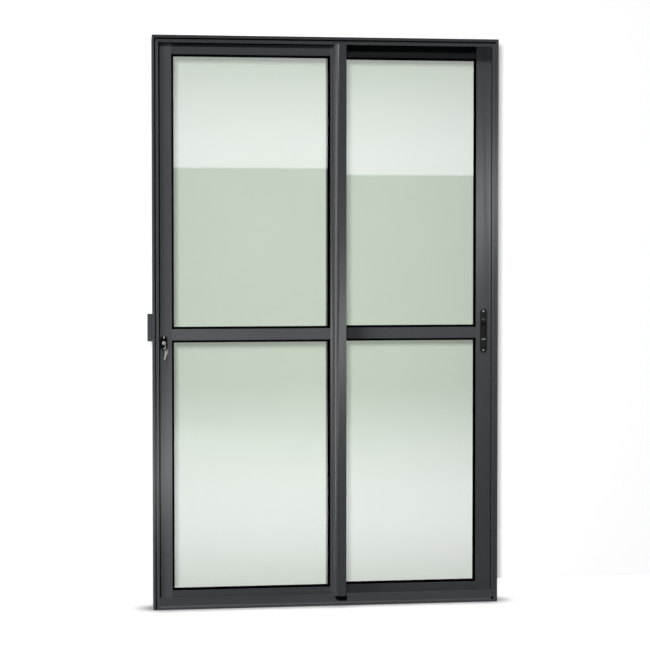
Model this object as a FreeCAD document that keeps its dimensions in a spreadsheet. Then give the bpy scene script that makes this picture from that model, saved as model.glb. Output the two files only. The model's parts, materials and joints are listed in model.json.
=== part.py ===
"""Two-leaf glass sliding patio door in a powder-coated aluminium frame.

Millimetres. X runs to the right along the frame, Y runs back through its depth and Z runs up.
The origin is the middle of the sill's underside, half way between the two tracks.
"""
import os
import math

import FreeCAD
import Part
import Sketcher

doc = FreeCAD.newDocument("patio_door")
sheet = doc.addObject("Spreadsheet::Sheet", "dim")

SIZES = {
    "frame_width": 1290, "frame_height": 2100, "frame_depth": 92, "wall": 2,
    "strip": 8.7, "groove": 5, "groove_depth": 4, "jamb_lip": 24, "head_lip": 28, "mitre_reach": 4,
    "web_back": 5, "fin": 18, "sill_height": 44, "sill_floor": 2.4, "nosing_low": 8,
    "nosing_high": 14, "track_width": 4, "track_height": 16, "upstand": 30,
    "fixing_radius": 3, "fixing_inset": 200, "drain_radius": 4, "drain_height": 14,
    "sash_depth": 24, "sash_gap": 20, "edge_gap": 6, "sill_clear": 6.6, "head_room": 16, "running_clear": 5,
    "stile": 59, "meeting_stile": 55.5, "pocket": 14, "front_meeting_edge": 69, "rear_meeting_edge": 6,
    "top_rail": 52.5, "bottom_rail": 60.5, "mid_rail": 41, "mid_height": 1009,
    "glass": 6, "bite": 9, "gasket_hidden": 6, "gasket_show": 8.5, "gasket_slope": 2,
    "pull_left": 23, "pull_depth": 27, "pull_wall": 2.5, "pull_radius": 20, "pull_return": 10,
    "pull_foot": 18, "pull_lap_low": 7, "pull_lap_high": 2, "lip_clearance": 6,
    "hook_clear": 15, "hook_wall": 2, "hook_lip": 1.5, "hook_inset": 13, "hook_pitch": 19, "hook_length": 10.5,
    "roller_inset": 120, "roller_radius": 12, "roller_seat": 10, "roller_width": 9, "roller_clear": 0.3,
    "roller_flare": 0.5, "carriage_length": 64, "carriage_clear": 1, "axle_radius": 2.5, "axle_clear": 0.1,
    "guide_length": 40, "guide_height": 7, "guide_drop": 4, "guide_clear": 1.5,
    "lock_height": 979, "lock_width": 26, "lock_length": 53, "lock_plate": 2.5,
    "cylinder_radius": 7, "cylinder_clear": 0.3, "cylinder_proud": 2,
    "bolt_rise": 57, "face_width": 16, "face_length": 170, "slot_width": 8, "slot_length": 60,
    "strike_length": 101, "strike_depth": 30, "strike_proud": 17, "keeper_plate": 1,
    "latch_height": 1015, "latch_width": 28, "latch_length": 165, "latch_plate": 2,
    "recess_width": 18, "recess_below": 37, "recess_above": 45, "recess_depth": 14, "recess_ledge": 7,
    "cup_wall": 1.6, "trigger_length": 22, "trigger_flat": 11, "trigger_slope": 3, "trigger_depth": 9,
    "trigger_clear": 0.6,
    "front_stop": 24, "rear_stop": 39, "stop_width": 18, "stop_height": 36,
    "key_plate": 1.8, "shank_half": 2, "shank_length": 4, "bow_half": 6, "bow_length": 18,
    "bridge": 3.3, "eye_half": 2.5, "eye_length": 9.5, "ring_radius": 15, "ring_wire": 0.8,
    "ring_lean": 15, "hang_clear": 0.3, "spare_eye": 3, "spare_bridge": 1.5, "spare_neck": 15.5,
    "spare_length": 32, "blade_half": 2.5, "tooth": 1, "tooth_pitch": 3,
}

for row, (alias, value) in enumerate(SIZES.items(), start=1):
    sheet.set(f"A{row}", alias.replace("_", " "))
    sheet.set(f"B{row}", str(value))
    sheet.setAlias(f"B{row}", alias)
doc.recompute()

PLANES = {
    "XY": FreeCAD.Rotation(),
    "XZ": FreeCAD.Rotation(FreeCAD.Vector(1, 0, 0), 90),
    "YZ": FreeCAD.Rotation(FreeCAD.Vector(1, 1, 1), 120),
}
NORMALS = {"XY": (0, 0, 1), "XZ": (0, -1, 0), "YZ": (1, 0, 0)}
ARC_FIELDS = 4
LEFT, RIGHT = 1, -1
KEY_TEETH = 4
parts = {}


def number(expression):
    """Value of a size expression, for a sketch's first guess."""
    return float(sheet.evalExpression(str(expression)))


def drive(thing, **expressions):
    """Tie properties of a feature to size expressions."""
    for name, expression in expressions.items():
        thing.setExpression(name.replace("__", "."), str(expression))
    return thing


def place(thing, x="0", y="0", z="0"):
    """Tie a feature's position to size expressions."""
    return drive(thing, Placement__Base__x=x, Placement__Base__y=y, Placement__Base__z=z)


def lean(thing, angle):
    """Turn a feature about the Y axis by a driven number of degrees."""
    turn = FreeCAD.Rotation(FreeCAD.Vector(0, 1, 0), number(angle))
    thing.Placement = FreeCAD.Placement(FreeCAD.Vector(), turn)
    return drive(thing, Placement__Rotation__Angle=f"({angle}) * 1deg")


def add_corner(sketch, geometry, end, point):
    """Hold one end of a sketch line at a driven point."""
    for kind, expression in zip(("DistanceX", "DistanceY"), point):
        index = sketch.addConstraint(Sketcher.Constraint(kind, -1, 1, geometry, end, number(expression)))
        sketch.setExpression(f"Constraints[{index}]", str(expression))


def arc_between(start, end, radius, turn):
    """Short arc of a given radius from start to end that bends left (turn 1) or right (turn -1)."""
    chord = end - start
    half = chord.Length / 2
    rise = math.sqrt(max(radius * radius - half * half, 0.0))
    inward = FreeCAD.Vector(-chord.y, chord.x, 0).normalize() * turn
    centre = (start + end) * 0.5 + inward * rise
    first, last = (start, end) if turn > 0 else (end, start)
    angles = [math.atan2(point.y - centre.y, point.x - centre.x) for point in (first, last)]
    return Part.ArcOfCircle(Part.Circle(centre, FreeCAD.Vector(0, 0, 1), radius), *angles)


def outline(name, plane, *loops):
    """Sketch of closed loops. A corner is (u, v), or (u, v, radius, turn) at the end of an arc."""
    sketch = doc.addObject("Sketcher::SketchObject", name)
    sketch.Placement = FreeCAD.Placement(FreeCAD.Vector(), PLANES[plane])
    for loop in loops:
        points = [FreeCAD.Vector(number(corner[0]), number(corner[1]), 0) for corner in loop]
        first = sketch.GeometryCount
        ends = []
        for index, corner in enumerate(loop):
            start, end = points[index - 1], points[index]
            if len(corner) == ARC_FIELDS:
                radius, turn = corner[2:]
                geometry = sketch.addGeometry(arc_between(start, end, number(radius), turn))
                bend = sketch.addConstraint(Sketcher.Constraint("Radius", geometry, number(radius)))
                sketch.setExpression(f"Constraints[{bend}]", str(radius))
                ends.append((1, 2) if turn > 0 else (2, 1))
            else:
                sketch.addGeometry(Part.LineSegment(start, end))
                ends.append((1, 2))
        for index, corner in enumerate(loop):
            here = first + index
            after = (index + 1) % len(loop)
            sketch.addConstraint(Sketcher.Constraint(
                "Coincident", here, ends[index][1], first + after, ends[after][0]))
            add_corner(sketch, here, ends[index][1], corner[:2])
    return sketch


def extrude(name, plane, length, *loops):
    """Straight extrusion of an outline along its plane's normal."""
    sketch = outline(name + "_outline", plane, *loops)
    solid = doc.addObject("Part::Extrusion", name)
    solid.Base = sketch
    solid.DirMode = "Custom"
    solid.Dir = FreeCAD.Vector(*NORMALS[plane])
    solid.Solid = True
    return drive(solid, LengthFwd=length)


def box(name, x, y, z):
    """Block between pairs of driven limits."""
    solid = doc.addObject("Part::Box", name)
    drive(solid, Length=f"({x[1]}) - ({x[0]})", Width=f"({y[1]}) - ({y[0]})", Height=f"({z[1]}) - ({z[0]})")
    return place(solid, x[0], y[0], z[0])


def rod(name, axis, radius, length, x, y, z):
    """Cylinder that starts at a driven point and runs along X, Y or Z."""
    directions = {"X": FreeCAD.Vector(1, 0, 0), "Y": FreeCAD.Vector(0, 1, 0), "Z": FreeCAD.Vector(0, 0, 1)}
    solid = doc.addObject("Part::Cylinder", name)
    solid.Placement = FreeCAD.Placement(FreeCAD.Vector(), FreeCAD.Rotation(directions["Z"], directions[axis]))
    drive(solid, Radius=radius, Height=length)
    return place(solid, x, y, z)


def join(name, *pieces):
    """Fused solid of several features."""
    solid = doc.addObject("Part::MultiFuse", name)
    solid.Shapes = list(pieces)
    solid.Refine = True
    return solid


def cut(name, base, *tools):
    """Base feature less one or more tools."""
    tool = tools[0] if len(tools) == 1 else group(name + "_tools", *tools)
    solid = doc.addObject("Part::Cut", name)
    solid.Base = base
    solid.Tool = tool
    solid.Refine = True
    return solid


def group(name, *pieces):
    """Several solids of one node that do not touch."""
    compound = doc.addObject("Part::Compound", name)
    compound.Links = list(pieces)
    return compound


def keep(node, solid):
    """Name a finished sub-part."""
    solid.Label = node
    parts[node] = solid
    return solid


def slab(name, axis, across, y, z, width, length):
    """Upright plate with half-round ends; axis Y, its limits in y, its middle at across and z."""
    radius = f"({width}) / 2"
    reach = f"(({length}) - ({width})) / 2"
    depth = f"({y[1]}) - ({y[0]})"
    middle = box(name + "_middle", (f"({across}) - {radius}", f"({across}) + {radius}"), y,
                 (f"({z}) - {reach}", f"({z}) + {reach}"))
    low = rod(name + "_low_end", axis, radius, depth, across, y[0], f"({z}) - {reach}")
    high = rod(name + "_high_end", axis, radius, depth, across, y[0], f"({z}) + {reach}")
    return join(name, middle, low, high)


# Places worked out from the driving sizes
HALF_WIDTH = "dim.frame_width / 2"
HALF_DEPTH = "dim.frame_depth / 2"
FRONT_FACE = "-dim.frame_depth / 2"
TRACK = "(dim.sash_depth + dim.sash_gap) / 2"
WEB_FACE = "(dim.web_back + dim.wall)"
SASH_EDGE = "(dim.web_back + dim.wall + dim.edge_gap)"
HEAD_RATIO = "(dim.head_lip / dim.jamb_lip)"
SASH_LOW = "(dim.sill_floor + dim.sill_clear)"
SASH_HIGH = "(dim.frame_height - dim.head_room)"
FRONT_SASH_FACE = "(-dim.sash_gap / 2 - dim.sash_depth)"
MID_TOP = "(dim.mid_height + dim.mid_rail / 2)"
MID_LOW = "(dim.mid_height - dim.mid_rail / 2)"
TOP_LIP = f"({SASH_HIGH} - dim.top_rail)"
BOTTOM_LIP = f"({SASH_LOW} + dim.bottom_rail)"
BOLT_HEIGHT = "(dim.lock_height + dim.bolt_rise)"
REAR_HOOK = "(dim.rear_meeting_edge + dim.hook_inset)"
FRONT_HOOK = f"({REAR_HOOK} + dim.hook_pitch)"
REAR_REACH = "(dim.sash_gap - dim.running_clear)"
FRONT_REACH = "(dim.sash_gap - dim.running_clear - dim.latch_plate)"
LATCH_FLOOR = "(dim.latch_height - dim.recess_below)"
LATCH_ROOF = "(dim.latch_height + dim.recess_above)"


def channel_section():
    """Half-open frame section: u from the outer edge inwards, v through the depth."""
    near = FRONT_FACE
    far = HALF_DEPTH
    floor = f"{near} + dim.groove_depth"
    inner = "dim.strip + dim.groove + dim.wall"
    return [
        ("0", near), ("dim.strip", near), ("dim.strip", floor), ("dim.strip + dim.groove", floor),
        ("dim.strip + dim.groove", near), ("dim.jamb_lip", near), ("dim.jamb_lip", f"{near} + dim.wall"),
        (inner, f"{near} + dim.wall"), (inner, f"{floor} + dim.wall"), (WEB_FACE, f"{floor} + dim.wall"),
        (WEB_FACE, "-dim.wall / 2"), ("dim.fin", "-dim.wall / 2"), ("dim.fin", "dim.wall / 2"),
        (WEB_FACE, "dim.wall / 2"), (WEB_FACE, f"{far} - dim.wall"), ("dim.jamb_lip", f"{far} - dim.wall"),
        ("dim.jamb_lip", far), ("dim.web_back", far), ("dim.web_back", f"{near} + dim.wall"),
        ("0", f"{near} + dim.wall"),
    ]


def corner_wedge(name, side, above):
    """Prism over or under the mitre line of one top corner."""
    run = "dim.jamb_lip * dim.mitre_reach"
    drop = "dim.frame_height - dim.head_lip * dim.mitre_reach"
    edge = f"{side} * ({HALF_WIDTH})"
    inward = f"{side} * ({HALF_WIDTH} - {run})"
    rise = "dim.frame_height + dim.jamb_lip"
    beyond = f"{side} * ({HALF_WIDTH} + dim.jamb_lip)"
    past = "dim.frame_height + dim.head_lip"
    if above:
        loop = [(inward, drop), (beyond, past), (inward, rise)]
    else:
        loop = [(inward, drop), (beyond, past), (beyond, drop)]
    wedge = extrude(name, "XZ", "dim.frame_depth * 2", loop)
    return place(wedge, "0", "dim.frame_depth", "0")


def frame_jamb(side, name):
    """One upright of the outer frame with its mitred top and fixing holes."""
    section = [(f"{side} * ({HALF_WIDTH} - ({u}))", v) for u, v in channel_section()]
    raw = extrude(name + "_bar", "XY", "dim.frame_height", section)
    tools = [corner_wedge(name + "_mitre", side, True)]
    start = f"-({HALF_WIDTH}) + dim.web_back - dim.wall"
    if side > 0:
        start = f"{HALF_WIDTH} - {WEB_FACE} - dim.wall"
    levels = {"low": "dim.fixing_inset", "high": "dim.frame_height - dim.fixing_inset"}
    for lane in (-1, 1):
        for level, height in levels.items():
            label = f"{name}_fixing_{'rear' if lane > 0 else 'front'}_{level}"
            tools.append(rod(label, "X", "dim.fixing_radius", "dim.wall * 3", start, f"{lane} * {TRACK}", height))
    lane = -1 if side < 0 else 1
    height = BOLT_HEIGHT if side < 0 else "dim.latch_height"
    tools.append(box(name + "_bolt_slot", (start, f"{start} + dim.wall * 3"),
                     (f"{lane} * {TRACK} - dim.slot_width / 2", f"{lane} * {TRACK} + dim.slot_width / 2"),
                     (f"{height} - dim.slot_length / 2", f"{height} + dim.slot_length / 2")))
    if side > 0:
        tools.append(rod(name + "_drain", "Y", "dim.drain_radius", "dim.wall * 2",
                         f"{HALF_WIDTH} - (dim.strip + dim.groove + dim.jamb_lip) / 2",
                         f"{FRONT_FACE} - dim.wall / 2", "dim.drain_height"))
    return keep(name, cut(name, raw, *tools))


def frame_head():
    """Top of the outer frame, mitred into both jambs."""
    section = [(v, f"dim.frame_height - ({u}) * {HEAD_RATIO}") for u, v in channel_section()]
    raw = extrude("frame_head_bar", "YZ", "dim.frame_width", section)
    place(raw, f"-({HALF_WIDTH})")
    return keep("frame_head", cut("frame_head", raw, corner_wedge("head_left_mitre", -1, False),
                                  corner_wedge("head_right_mitre", 1, False)))


def frame_sill(left, right):
    """Bottom of the outer frame: two tracks between walls, coped round the jambs."""
    front = FRONT_FACE
    wall_front = f"{front} + dim.wall"
    half_track = "dim.track_width / 2"
    loop = [(front, "0"), (front, "dim.nosing_low"), (wall_front, "dim.nosing_high"),
            (wall_front, "dim.sill_height"), (f"{wall_front} + dim.wall", "dim.sill_height"),
            (f"{wall_front} + dim.wall", "dim.sill_floor")]
    for lane in (-1, 1):
        middle = f"{lane} * {TRACK}"
        crest = f"dim.track_height - {half_track}"
        loop += [(f"{middle} - {half_track}", "dim.sill_floor"), (f"{middle} - {half_track}", crest),
                 (middle, "dim.track_height", half_track, RIGHT),
                 (f"{middle} + {half_track}", crest, half_track, RIGHT),
                 (f"{middle} + {half_track}", "dim.sill_floor")]
        if lane < 0:
            loop += [("-dim.wall / 2", "dim.sill_floor"), ("-dim.wall / 2", "dim.upstand"),
                     ("dim.wall / 2", "dim.upstand"), ("dim.wall / 2", "dim.sill_floor")]
    loop += [(f"{HALF_DEPTH} - dim.wall", "dim.sill_floor"), (f"{HALF_DEPTH} - dim.wall", "dim.sill_height"),
             (HALF_DEPTH, "dim.sill_height"), (HALF_DEPTH, "0")]
    raw = extrude("frame_sill_bar", "YZ", f"dim.frame_width - 2 * {WEB_FACE}", loop)
    place(raw, f"-({HALF_WIDTH}) + {WEB_FACE}")
    coped = cut("frame_sill_coped_left", raw, left)
    return keep("frame_sill", cut("frame_sill", coped, right))


def stile_section(edge, side, width, lane):
    """Hollow stile with a glazing pocket: its outer edge, and side +1 where the glass is to the right."""
    middle = f"{lane} * {TRACK}"
    near = f"{middle} - dim.sash_depth / 2"
    far = f"{middle} + dim.sash_depth / 2"
    core = f"({width} - dim.pocket)"
    outer = [("0", near), (width, near), (width, f"{near} + dim.wall"), (core, f"{near} + dim.wall"),
             (core, f"{far} - dim.wall"), (width, f"{far} - dim.wall"), (width, far), ("0", far)]
    hollow = [("dim.wall", f"{near} + dim.wall"), (f"{core} - dim.wall", f"{near} + dim.wall"),
              (f"{core} - dim.wall", f"{far} - dim.wall"), ("dim.wall", f"{far} - dim.wall")]
    return [[(f"{edge} + {side} * ({u})", v) for u, v in loop] for loop in (outer, hollow)]


def top_rail_section(lane):
    """Hollow top rail with its glazing pocket below."""
    middle = f"{lane} * {TRACK}"
    near = f"{middle} - dim.sash_depth / 2"
    far = f"{middle} + dim.sash_depth / 2"
    floor = f"{TOP_LIP} + dim.pocket"
    roof = f"{SASH_HIGH} - dim.wall"
    outer = [(near, SASH_HIGH), (near, TOP_LIP), (f"{near} + dim.wall", TOP_LIP), (f"{near} + dim.wall", floor),
             (f"{far} - dim.wall", floor), (f"{far} - dim.wall", TOP_LIP), (far, TOP_LIP), (far, SASH_HIGH)]
    hollow = [(f"{near} + dim.wall", roof), (f"{near} + dim.wall", f"{floor} + dim.wall"),
              (f"{far} - dim.wall", f"{floor} + dim.wall"), (f"{far} - dim.wall", roof)]
    return [outer, hollow]


def bottom_rail_section(lane):
    """Bottom rail: glazing pocket above, open roller channel below."""
    middle = f"{lane} * {TRACK}"
    near = f"{middle} - dim.sash_depth / 2"
    far = f"{middle} + dim.sash_depth / 2"
    floor = f"{BOTTOM_LIP} - dim.pocket"
    inner_near = f"{near} + dim.wall"
    inner_far = f"{far} - dim.wall"
    return [[(near, SASH_LOW), (near, BOTTOM_LIP), (inner_near, BOTTOM_LIP), (inner_near, floor),
             (inner_far, floor), (inner_far, BOTTOM_LIP), (far, BOTTOM_LIP), (far, SASH_LOW),
             (inner_far, SASH_LOW), (inner_far, f"{floor} - dim.wall"), (inner_near, f"{floor} - dim.wall"),
             (inner_near, SASH_LOW)]]


def mid_rail_section(lane):
    """Middle rail with a glazing pocket on both sides."""
    middle = f"{lane} * {TRACK}"
    near = f"{middle} - dim.sash_depth / 2"
    far = f"{middle} + dim.sash_depth / 2"
    inner_near = f"{near} + dim.wall"
    inner_far = f"{far} - dim.wall"
    high = f"{MID_TOP} - dim.pocket"
    low = f"{MID_LOW} + dim.pocket"
    outer = [(near, MID_LOW), (near, MID_TOP), (inner_near, MID_TOP), (inner_near, high), (inner_far, high),
             (inner_far, MID_TOP), (far, MID_TOP), (far, MID_LOW), (inner_far, MID_LOW), (inner_far, low),
             (inner_near, low), (inner_near, MID_LOW)]
    hollow = [(inner_near, f"{low} + dim.wall"), (inner_near, f"{high} - dim.wall"),
              (inner_far, f"{high} - dim.wall"), (inner_far, f"{low} + dim.wall")]
    return [outer, hollow]


def pane(name, lane, x, z):
    """One sheet of glass and the gaskets on both of its faces."""
    middle = f"{lane} * {TRACK}"
    wide = (f"{x[0]} - dim.bite", f"{x[1]} + dim.bite")
    tall = (f"{z[0]} - dim.bite", f"{z[1]} + dim.bite")
    thick = (f"{middle} - dim.glass / 2", f"{middle} + dim.glass / 2")
    keep(name + "_glass", box(name + "_glass", wide, thick, tall))
    rings = []
    for face in (-1, 1):
        lip = f"{middle} + {face} * (dim.sash_depth / 2 - dim.wall)"
        sheet_face = f"{middle} + {face} * dim.glass / 2"
        depth = (lip, sheet_face) if face < 0 else (sheet_face, lip)
        label = f"{name}_gasket_{'front' if face < 0 else 'rear'}"
        blank = box(label + "_blank", (f"{x[0]} - dim.gasket_hidden", f"{x[1]} + dim.gasket_hidden"), depth,
                    (f"{z[0]} - dim.gasket_hidden", f"{z[1]} + dim.gasket_hidden"))
        opening = doc.addObject("Part::Wedge", label + "_opening")
        at_lip = "" if face < 0 else "2"
        at_glass = "2" if face < 0 else ""
        drive(opening, Ymin=depth[0], Ymax=depth[1])
        for ends, inset in ((at_lip, "dim.gasket_slope"), (at_glass, "dim.gasket_show")):
            drive(opening, **{f"X{ends}min": f"{x[0]} + {inset}", f"X{ends}max": f"{x[1]} - {inset}",
                              f"Z{ends}min": f"{z[0]} + {inset}", f"Z{ends}max": f"{z[1]} - {inset}"})
        rings.append(cut(label, blank, opening))
    keep(name + "_gaskets", group(name + "_gaskets", *rings))


def rollers(name, lane, x):
    """Two carriages in the bottom rail and their grooved wheels."""
    middle = f"{lane} * {TRACK}"
    roof = f"{BOTTOM_LIP} - dim.pocket - dim.wall"
    axle = "dim.track_height + dim.roller_clear + dim.roller_seat"
    width = "(dim.sash_depth - 2 * dim.wall - 2 * dim.carriage_clear)"
    half = f"{width} / 2"
    foot = "dim.track_height + 2 * dim.wall"
    bodies, wheels = [], []
    for index, centre in enumerate((f"{x[0]} + dim.roller_inset", f"{x[1]} - dim.roller_inset")):
        label = f"{name}_{'left' if index == 0 else 'right'}"
        near, far = f"{middle} - {half}", f"{middle} + {half}"
        saddle = extrude(label + "_saddle", "YZ", "dim.carriage_length", [
            (near, foot), (near, roof), (far, roof), (far, foot),
            (f"{far} - dim.wall", foot), (f"{far} - dim.wall", f"{roof} - dim.wall"),
            (f"{near} + dim.wall", f"{roof} - dim.wall"), (f"{near} + dim.wall", foot)])
        place(saddle, f"{centre} - dim.carriage_length / 2")
        bore = rod(label + "_bore", "Y", "dim.axle_radius + dim.axle_clear", f"{width} + 2 * dim.wall", centre,
                   f"{near} - dim.wall", axle)
        bodies.append(cut(label + "_carriage", saddle, bore))
        flange = "dim.roller_width / 2"
        seat = "dim.track_width / 2"
        rim = outline(label + "_rim", "YZ", [
            (f"-({flange})", "0"), (f"-({flange})", "dim.roller_radius"),
            (f"-({seat}) - dim.roller_flare", "dim.roller_radius"), (f"-({seat})", "dim.roller_seat"),
            (seat, "dim.roller_seat"), (f"{seat} + dim.roller_flare", "dim.roller_radius"),
            (flange, "dim.roller_radius"), (flange, "0")])
        wheel = doc.addObject("Part::Revolution", label + "_tyre")
        wheel.Source = rim
        wheel.Axis = FreeCAD.Vector(0, 1, 0)
        wheel.Solid = True
        place(wheel, centre, middle, axle)
        pin = rod(label + "_axle", "Y", "dim.axle_radius", width, centre, near, axle)
        wheels.append(join(label + "_wheel", wheel, pin))
    keep(name + "_carriages", group(name + "_carriages", *bodies))
    keep(name + "_wheels", group(name + "_wheels", *wheels))


def top_guides(name, lane, x):
    """Nylon pads on the sash top that run between the head's lip and its middle fin."""
    middle = f"{lane} * {TRACK}"
    near, far = f"{middle} - dim.sash_depth / 2", f"{middle} + dim.sash_depth / 2"
    lip = f"{HALF_DEPTH} - dim.wall - dim.guide_clear"
    fin = "dim.wall / 2 + dim.guide_clear"
    front = (f"-({lip})", near) if lane < 0 else (fin, near)
    rear = (far, f"-({fin})") if lane < 0 else (far, lip)
    pads = []
    for index, start in enumerate((f"{x[0]} + dim.stile", f"{x[1]} - dim.stile - dim.guide_length")):
        for side, depth in (("front", front), ("rear", rear)):
            pads.append(box(f"{name}_{index + 1}_{side}", (start, f"{start} + dim.guide_length"), depth,
                            (f"{SASH_HIGH} - dim.guide_drop - dim.guide_height",
                             f"{SASH_HIGH} - dim.guide_drop")))
    keep(name, group(name, *pads))


def track_notch(node, lane, x):
    """Slot across a stile's foot that straddles the sill's track."""
    middle = f"{lane} * {TRACK}"
    half = "(dim.track_width / 2 + dim.running_clear)"
    return box(node + "_track_notch", (f"{x[0]} - dim.wall", f"{x[1]} + dim.wall"),
               (f"{middle} - {half}", f"{middle} + {half}"),
               (f"{SASH_LOW} - dim.wall", "dim.track_height + dim.running_clear"))


def sash(name, lane, x, stiles, extra_cuts):
    """Stiles, rails, panes, rollers and guides of one leaf."""
    tall = f"{SASH_HIGH} - {SASH_LOW}"
    edges = []
    for side, (node, width) in zip((1, -1), stiles):
        edge = x[0] if side > 0 else x[1]
        bar = extrude(node + "_bar", "XY", tall, *stile_section(edge, side, width, lane))
        place(bar, z=SASH_LOW)
        keep(node, cut(node, bar, track_notch(node, lane, x), *extra_cuts.get(node, [])))
        edges.append(f"({edge} + {side} * {width})")
    length = f"{edges[1]} - {edges[0]}"
    sections = {"top": top_rail_section, "mid": mid_rail_section, "bottom": bottom_rail_section}
    for level, section in sections.items():
        rail = extrude(f"{name}_{level}_rail", "YZ", length, *section(lane))
        keep(f"{name}_{level}_rail", place(rail, edges[0]))
    pane(name + "_upper", lane, edges, (MID_TOP, TOP_LIP))
    pane(name + "_lower", lane, edges, (BOTTOM_LIP, MID_LOW))
    rollers(name + "_roller", lane, x)
    top_guides(name + "_top_guides", lane, x)


def edge_mortise(name, side, edge, lane, height):
    """Hole for a face plate in the outer wall of a stile."""
    middle = f"{lane} * {TRACK}"
    x = (edge, f"{edge} + dim.wall") if side > 0 else (f"{edge} - dim.wall", edge)
    return box(name, x, (f"{middle} - dim.face_width / 2", f"{middle} + dim.face_width / 2"),
               (f"{height} - dim.face_length / 2", f"{height} + dim.face_length / 2"))


def face_plate(node, side, edge, lane, height):
    """Slotted plate let into a stile's edge, with the hook drawn back behind the slot."""
    middle = f"{lane} * {TRACK}"
    plate = edge_mortise(node + "_plate", side, edge, lane, height)
    x = (f"{edge} - dim.wall", f"{edge} + dim.wall * 2")
    slot = box(node + "_slot", x, (f"{middle} - dim.slot_width / 2", f"{middle} + dim.slot_width / 2"),
               (f"{height} - dim.slot_length / 2", f"{height} + dim.slot_length / 2"))
    return keep(node, cut(node, plate, slot))


def keeper(node, side, lane, height):
    """Slotted strike plate on a jamb's web."""
    middle = f"{lane} * {TRACK}"
    web = f"{side} * ({HALF_WIDTH} - {WEB_FACE})"
    x = (web, f"{web} + dim.keeper_plate") if side < 0 else (f"{web} - dim.keeper_plate", web)
    plate = box(node + "_plate", x, (f"{middle} - dim.face_width / 2", f"{middle} + dim.face_width / 2"),
                (f"{height} - dim.strike_length / 2", f"{height} + dim.strike_length / 2"))
    slot = box(node + "_slot", (f"{x[0]} - dim.wall", f"{x[1]} + dim.wall"),
               (f"{middle} - dim.slot_width / 2", f"{middle} + dim.slot_width / 2"),
               (f"{height} - dim.slot_length / 2", f"{height} + dim.slot_length / 2"))
    return keep(node, cut(node, plate, slot))


def strike_box():
    """Dust box of the lock's strike, outside the left jamb and open towards it."""
    jamb = f"-({HALF_WIDTH})"
    x = (f"{jamb} - dim.strike_proud", f"{jamb} + dim.web_back")
    y = (f"-{TRACK} - dim.strike_depth / 2", f"-{TRACK} + dim.strike_depth / 2")
    z = (f"{BOLT_HEIGHT} - dim.strike_length / 2", f"{BOLT_HEIGHT} + dim.strike_length / 2")
    shell = box("strike_box_shell", x, y, z)
    room = box("strike_box_room", (f"{x[0]} + dim.wall", f"{x[1]} + dim.wall"),
               (f"{y[0]} + dim.wall", f"{y[1]} - dim.wall"), (f"{z[0]} + dim.wall", f"{z[1]} - dim.wall"))
    return keep("strike_box", cut("strike_box", shell, room))


def meeting_pull():
    """Open rounded pull along the front leaf's meeting stile, standing clear of the frame at both ends."""
    face = FRONT_SASH_FACE
    nose = f"{face} - dim.pull_depth"
    left, right = "dim.pull_left", "dim.front_meeting_edge"
    turn = f"{nose} + dim.pull_radius"
    inner = "dim.pull_radius - dim.pull_wall"
    loop = [(left, face), (left, turn), (f"{left} + dim.pull_radius", nose, "dim.pull_radius", LEFT),
            (right, nose), (right, f"{nose} + dim.pull_return"), (f"{right} - dim.pull_wall", f"{nose} + dim.pull_return"),
            (f"{right} - dim.pull_wall", f"{nose} + dim.pull_wall"),
            (f"{left} + dim.pull_radius", f"{nose} + dim.pull_wall"),
            (f"{left} + dim.pull_wall", turn, inner, RIGHT),
            (f"{left} + dim.pull_wall", f"{face} - dim.pull_wall"),
            (f"{left} + dim.pull_foot", f"{face} - dim.pull_wall"), (f"{left} + dim.pull_foot", face)]
    foot = "dim.sill_height - dim.pull_lap_low"
    top = "dim.frame_height - dim.head_lip + dim.pull_lap_high"
    bar = extrude("meeting_pull_bar", "XY", f"({top}) - ({foot})", loop)
    place(bar, z=foot)
    behind = (f"{FRONT_FACE} - dim.lip_clearance", f"{face} + dim.wall")
    wide = (f"{left} - dim.wall", f"{right} + dim.wall")
    low = box("meeting_pull_low_notch", wide, behind,
              (f"{foot} - dim.wall", "dim.sill_height + dim.lip_clearance"))
    high = box("meeting_pull_high_notch", wide, behind,
               ("dim.frame_height - dim.head_lip - dim.lip_clearance", f"{top} + dim.wall"))
    return keep("meeting_pull", cut("meeting_pull", bar, low, high))


def interlock(node, lane, web, side, reach):
    """Hooked strip on a meeting stile, which passes behind the hook of the other leaf."""
    face = f"{lane} * (dim.sash_gap / 2)"
    tip = f"{face} - {lane} * {reach}"
    loop = [(web, face), (web, tip), (f"{web} + {side} * dim.hook_length", tip),
            (f"{web} + {side} * dim.hook_length", f"{tip} + {lane} * dim.hook_lip"),
            (f"{web} + {side} * dim.hook_wall", f"{tip} + {lane} * dim.hook_lip"),
            (f"{web} + {side} * dim.hook_wall", face)]
    foot = "dim.upstand + dim.hook_clear"
    top = f"dim.frame_height - dim.fin * {HEAD_RATIO} - dim.hook_clear"
    bar = extrude(node, "XY", f"({top}) - ({foot})", loop)
    return keep(node, place(bar, z=foot))


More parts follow.
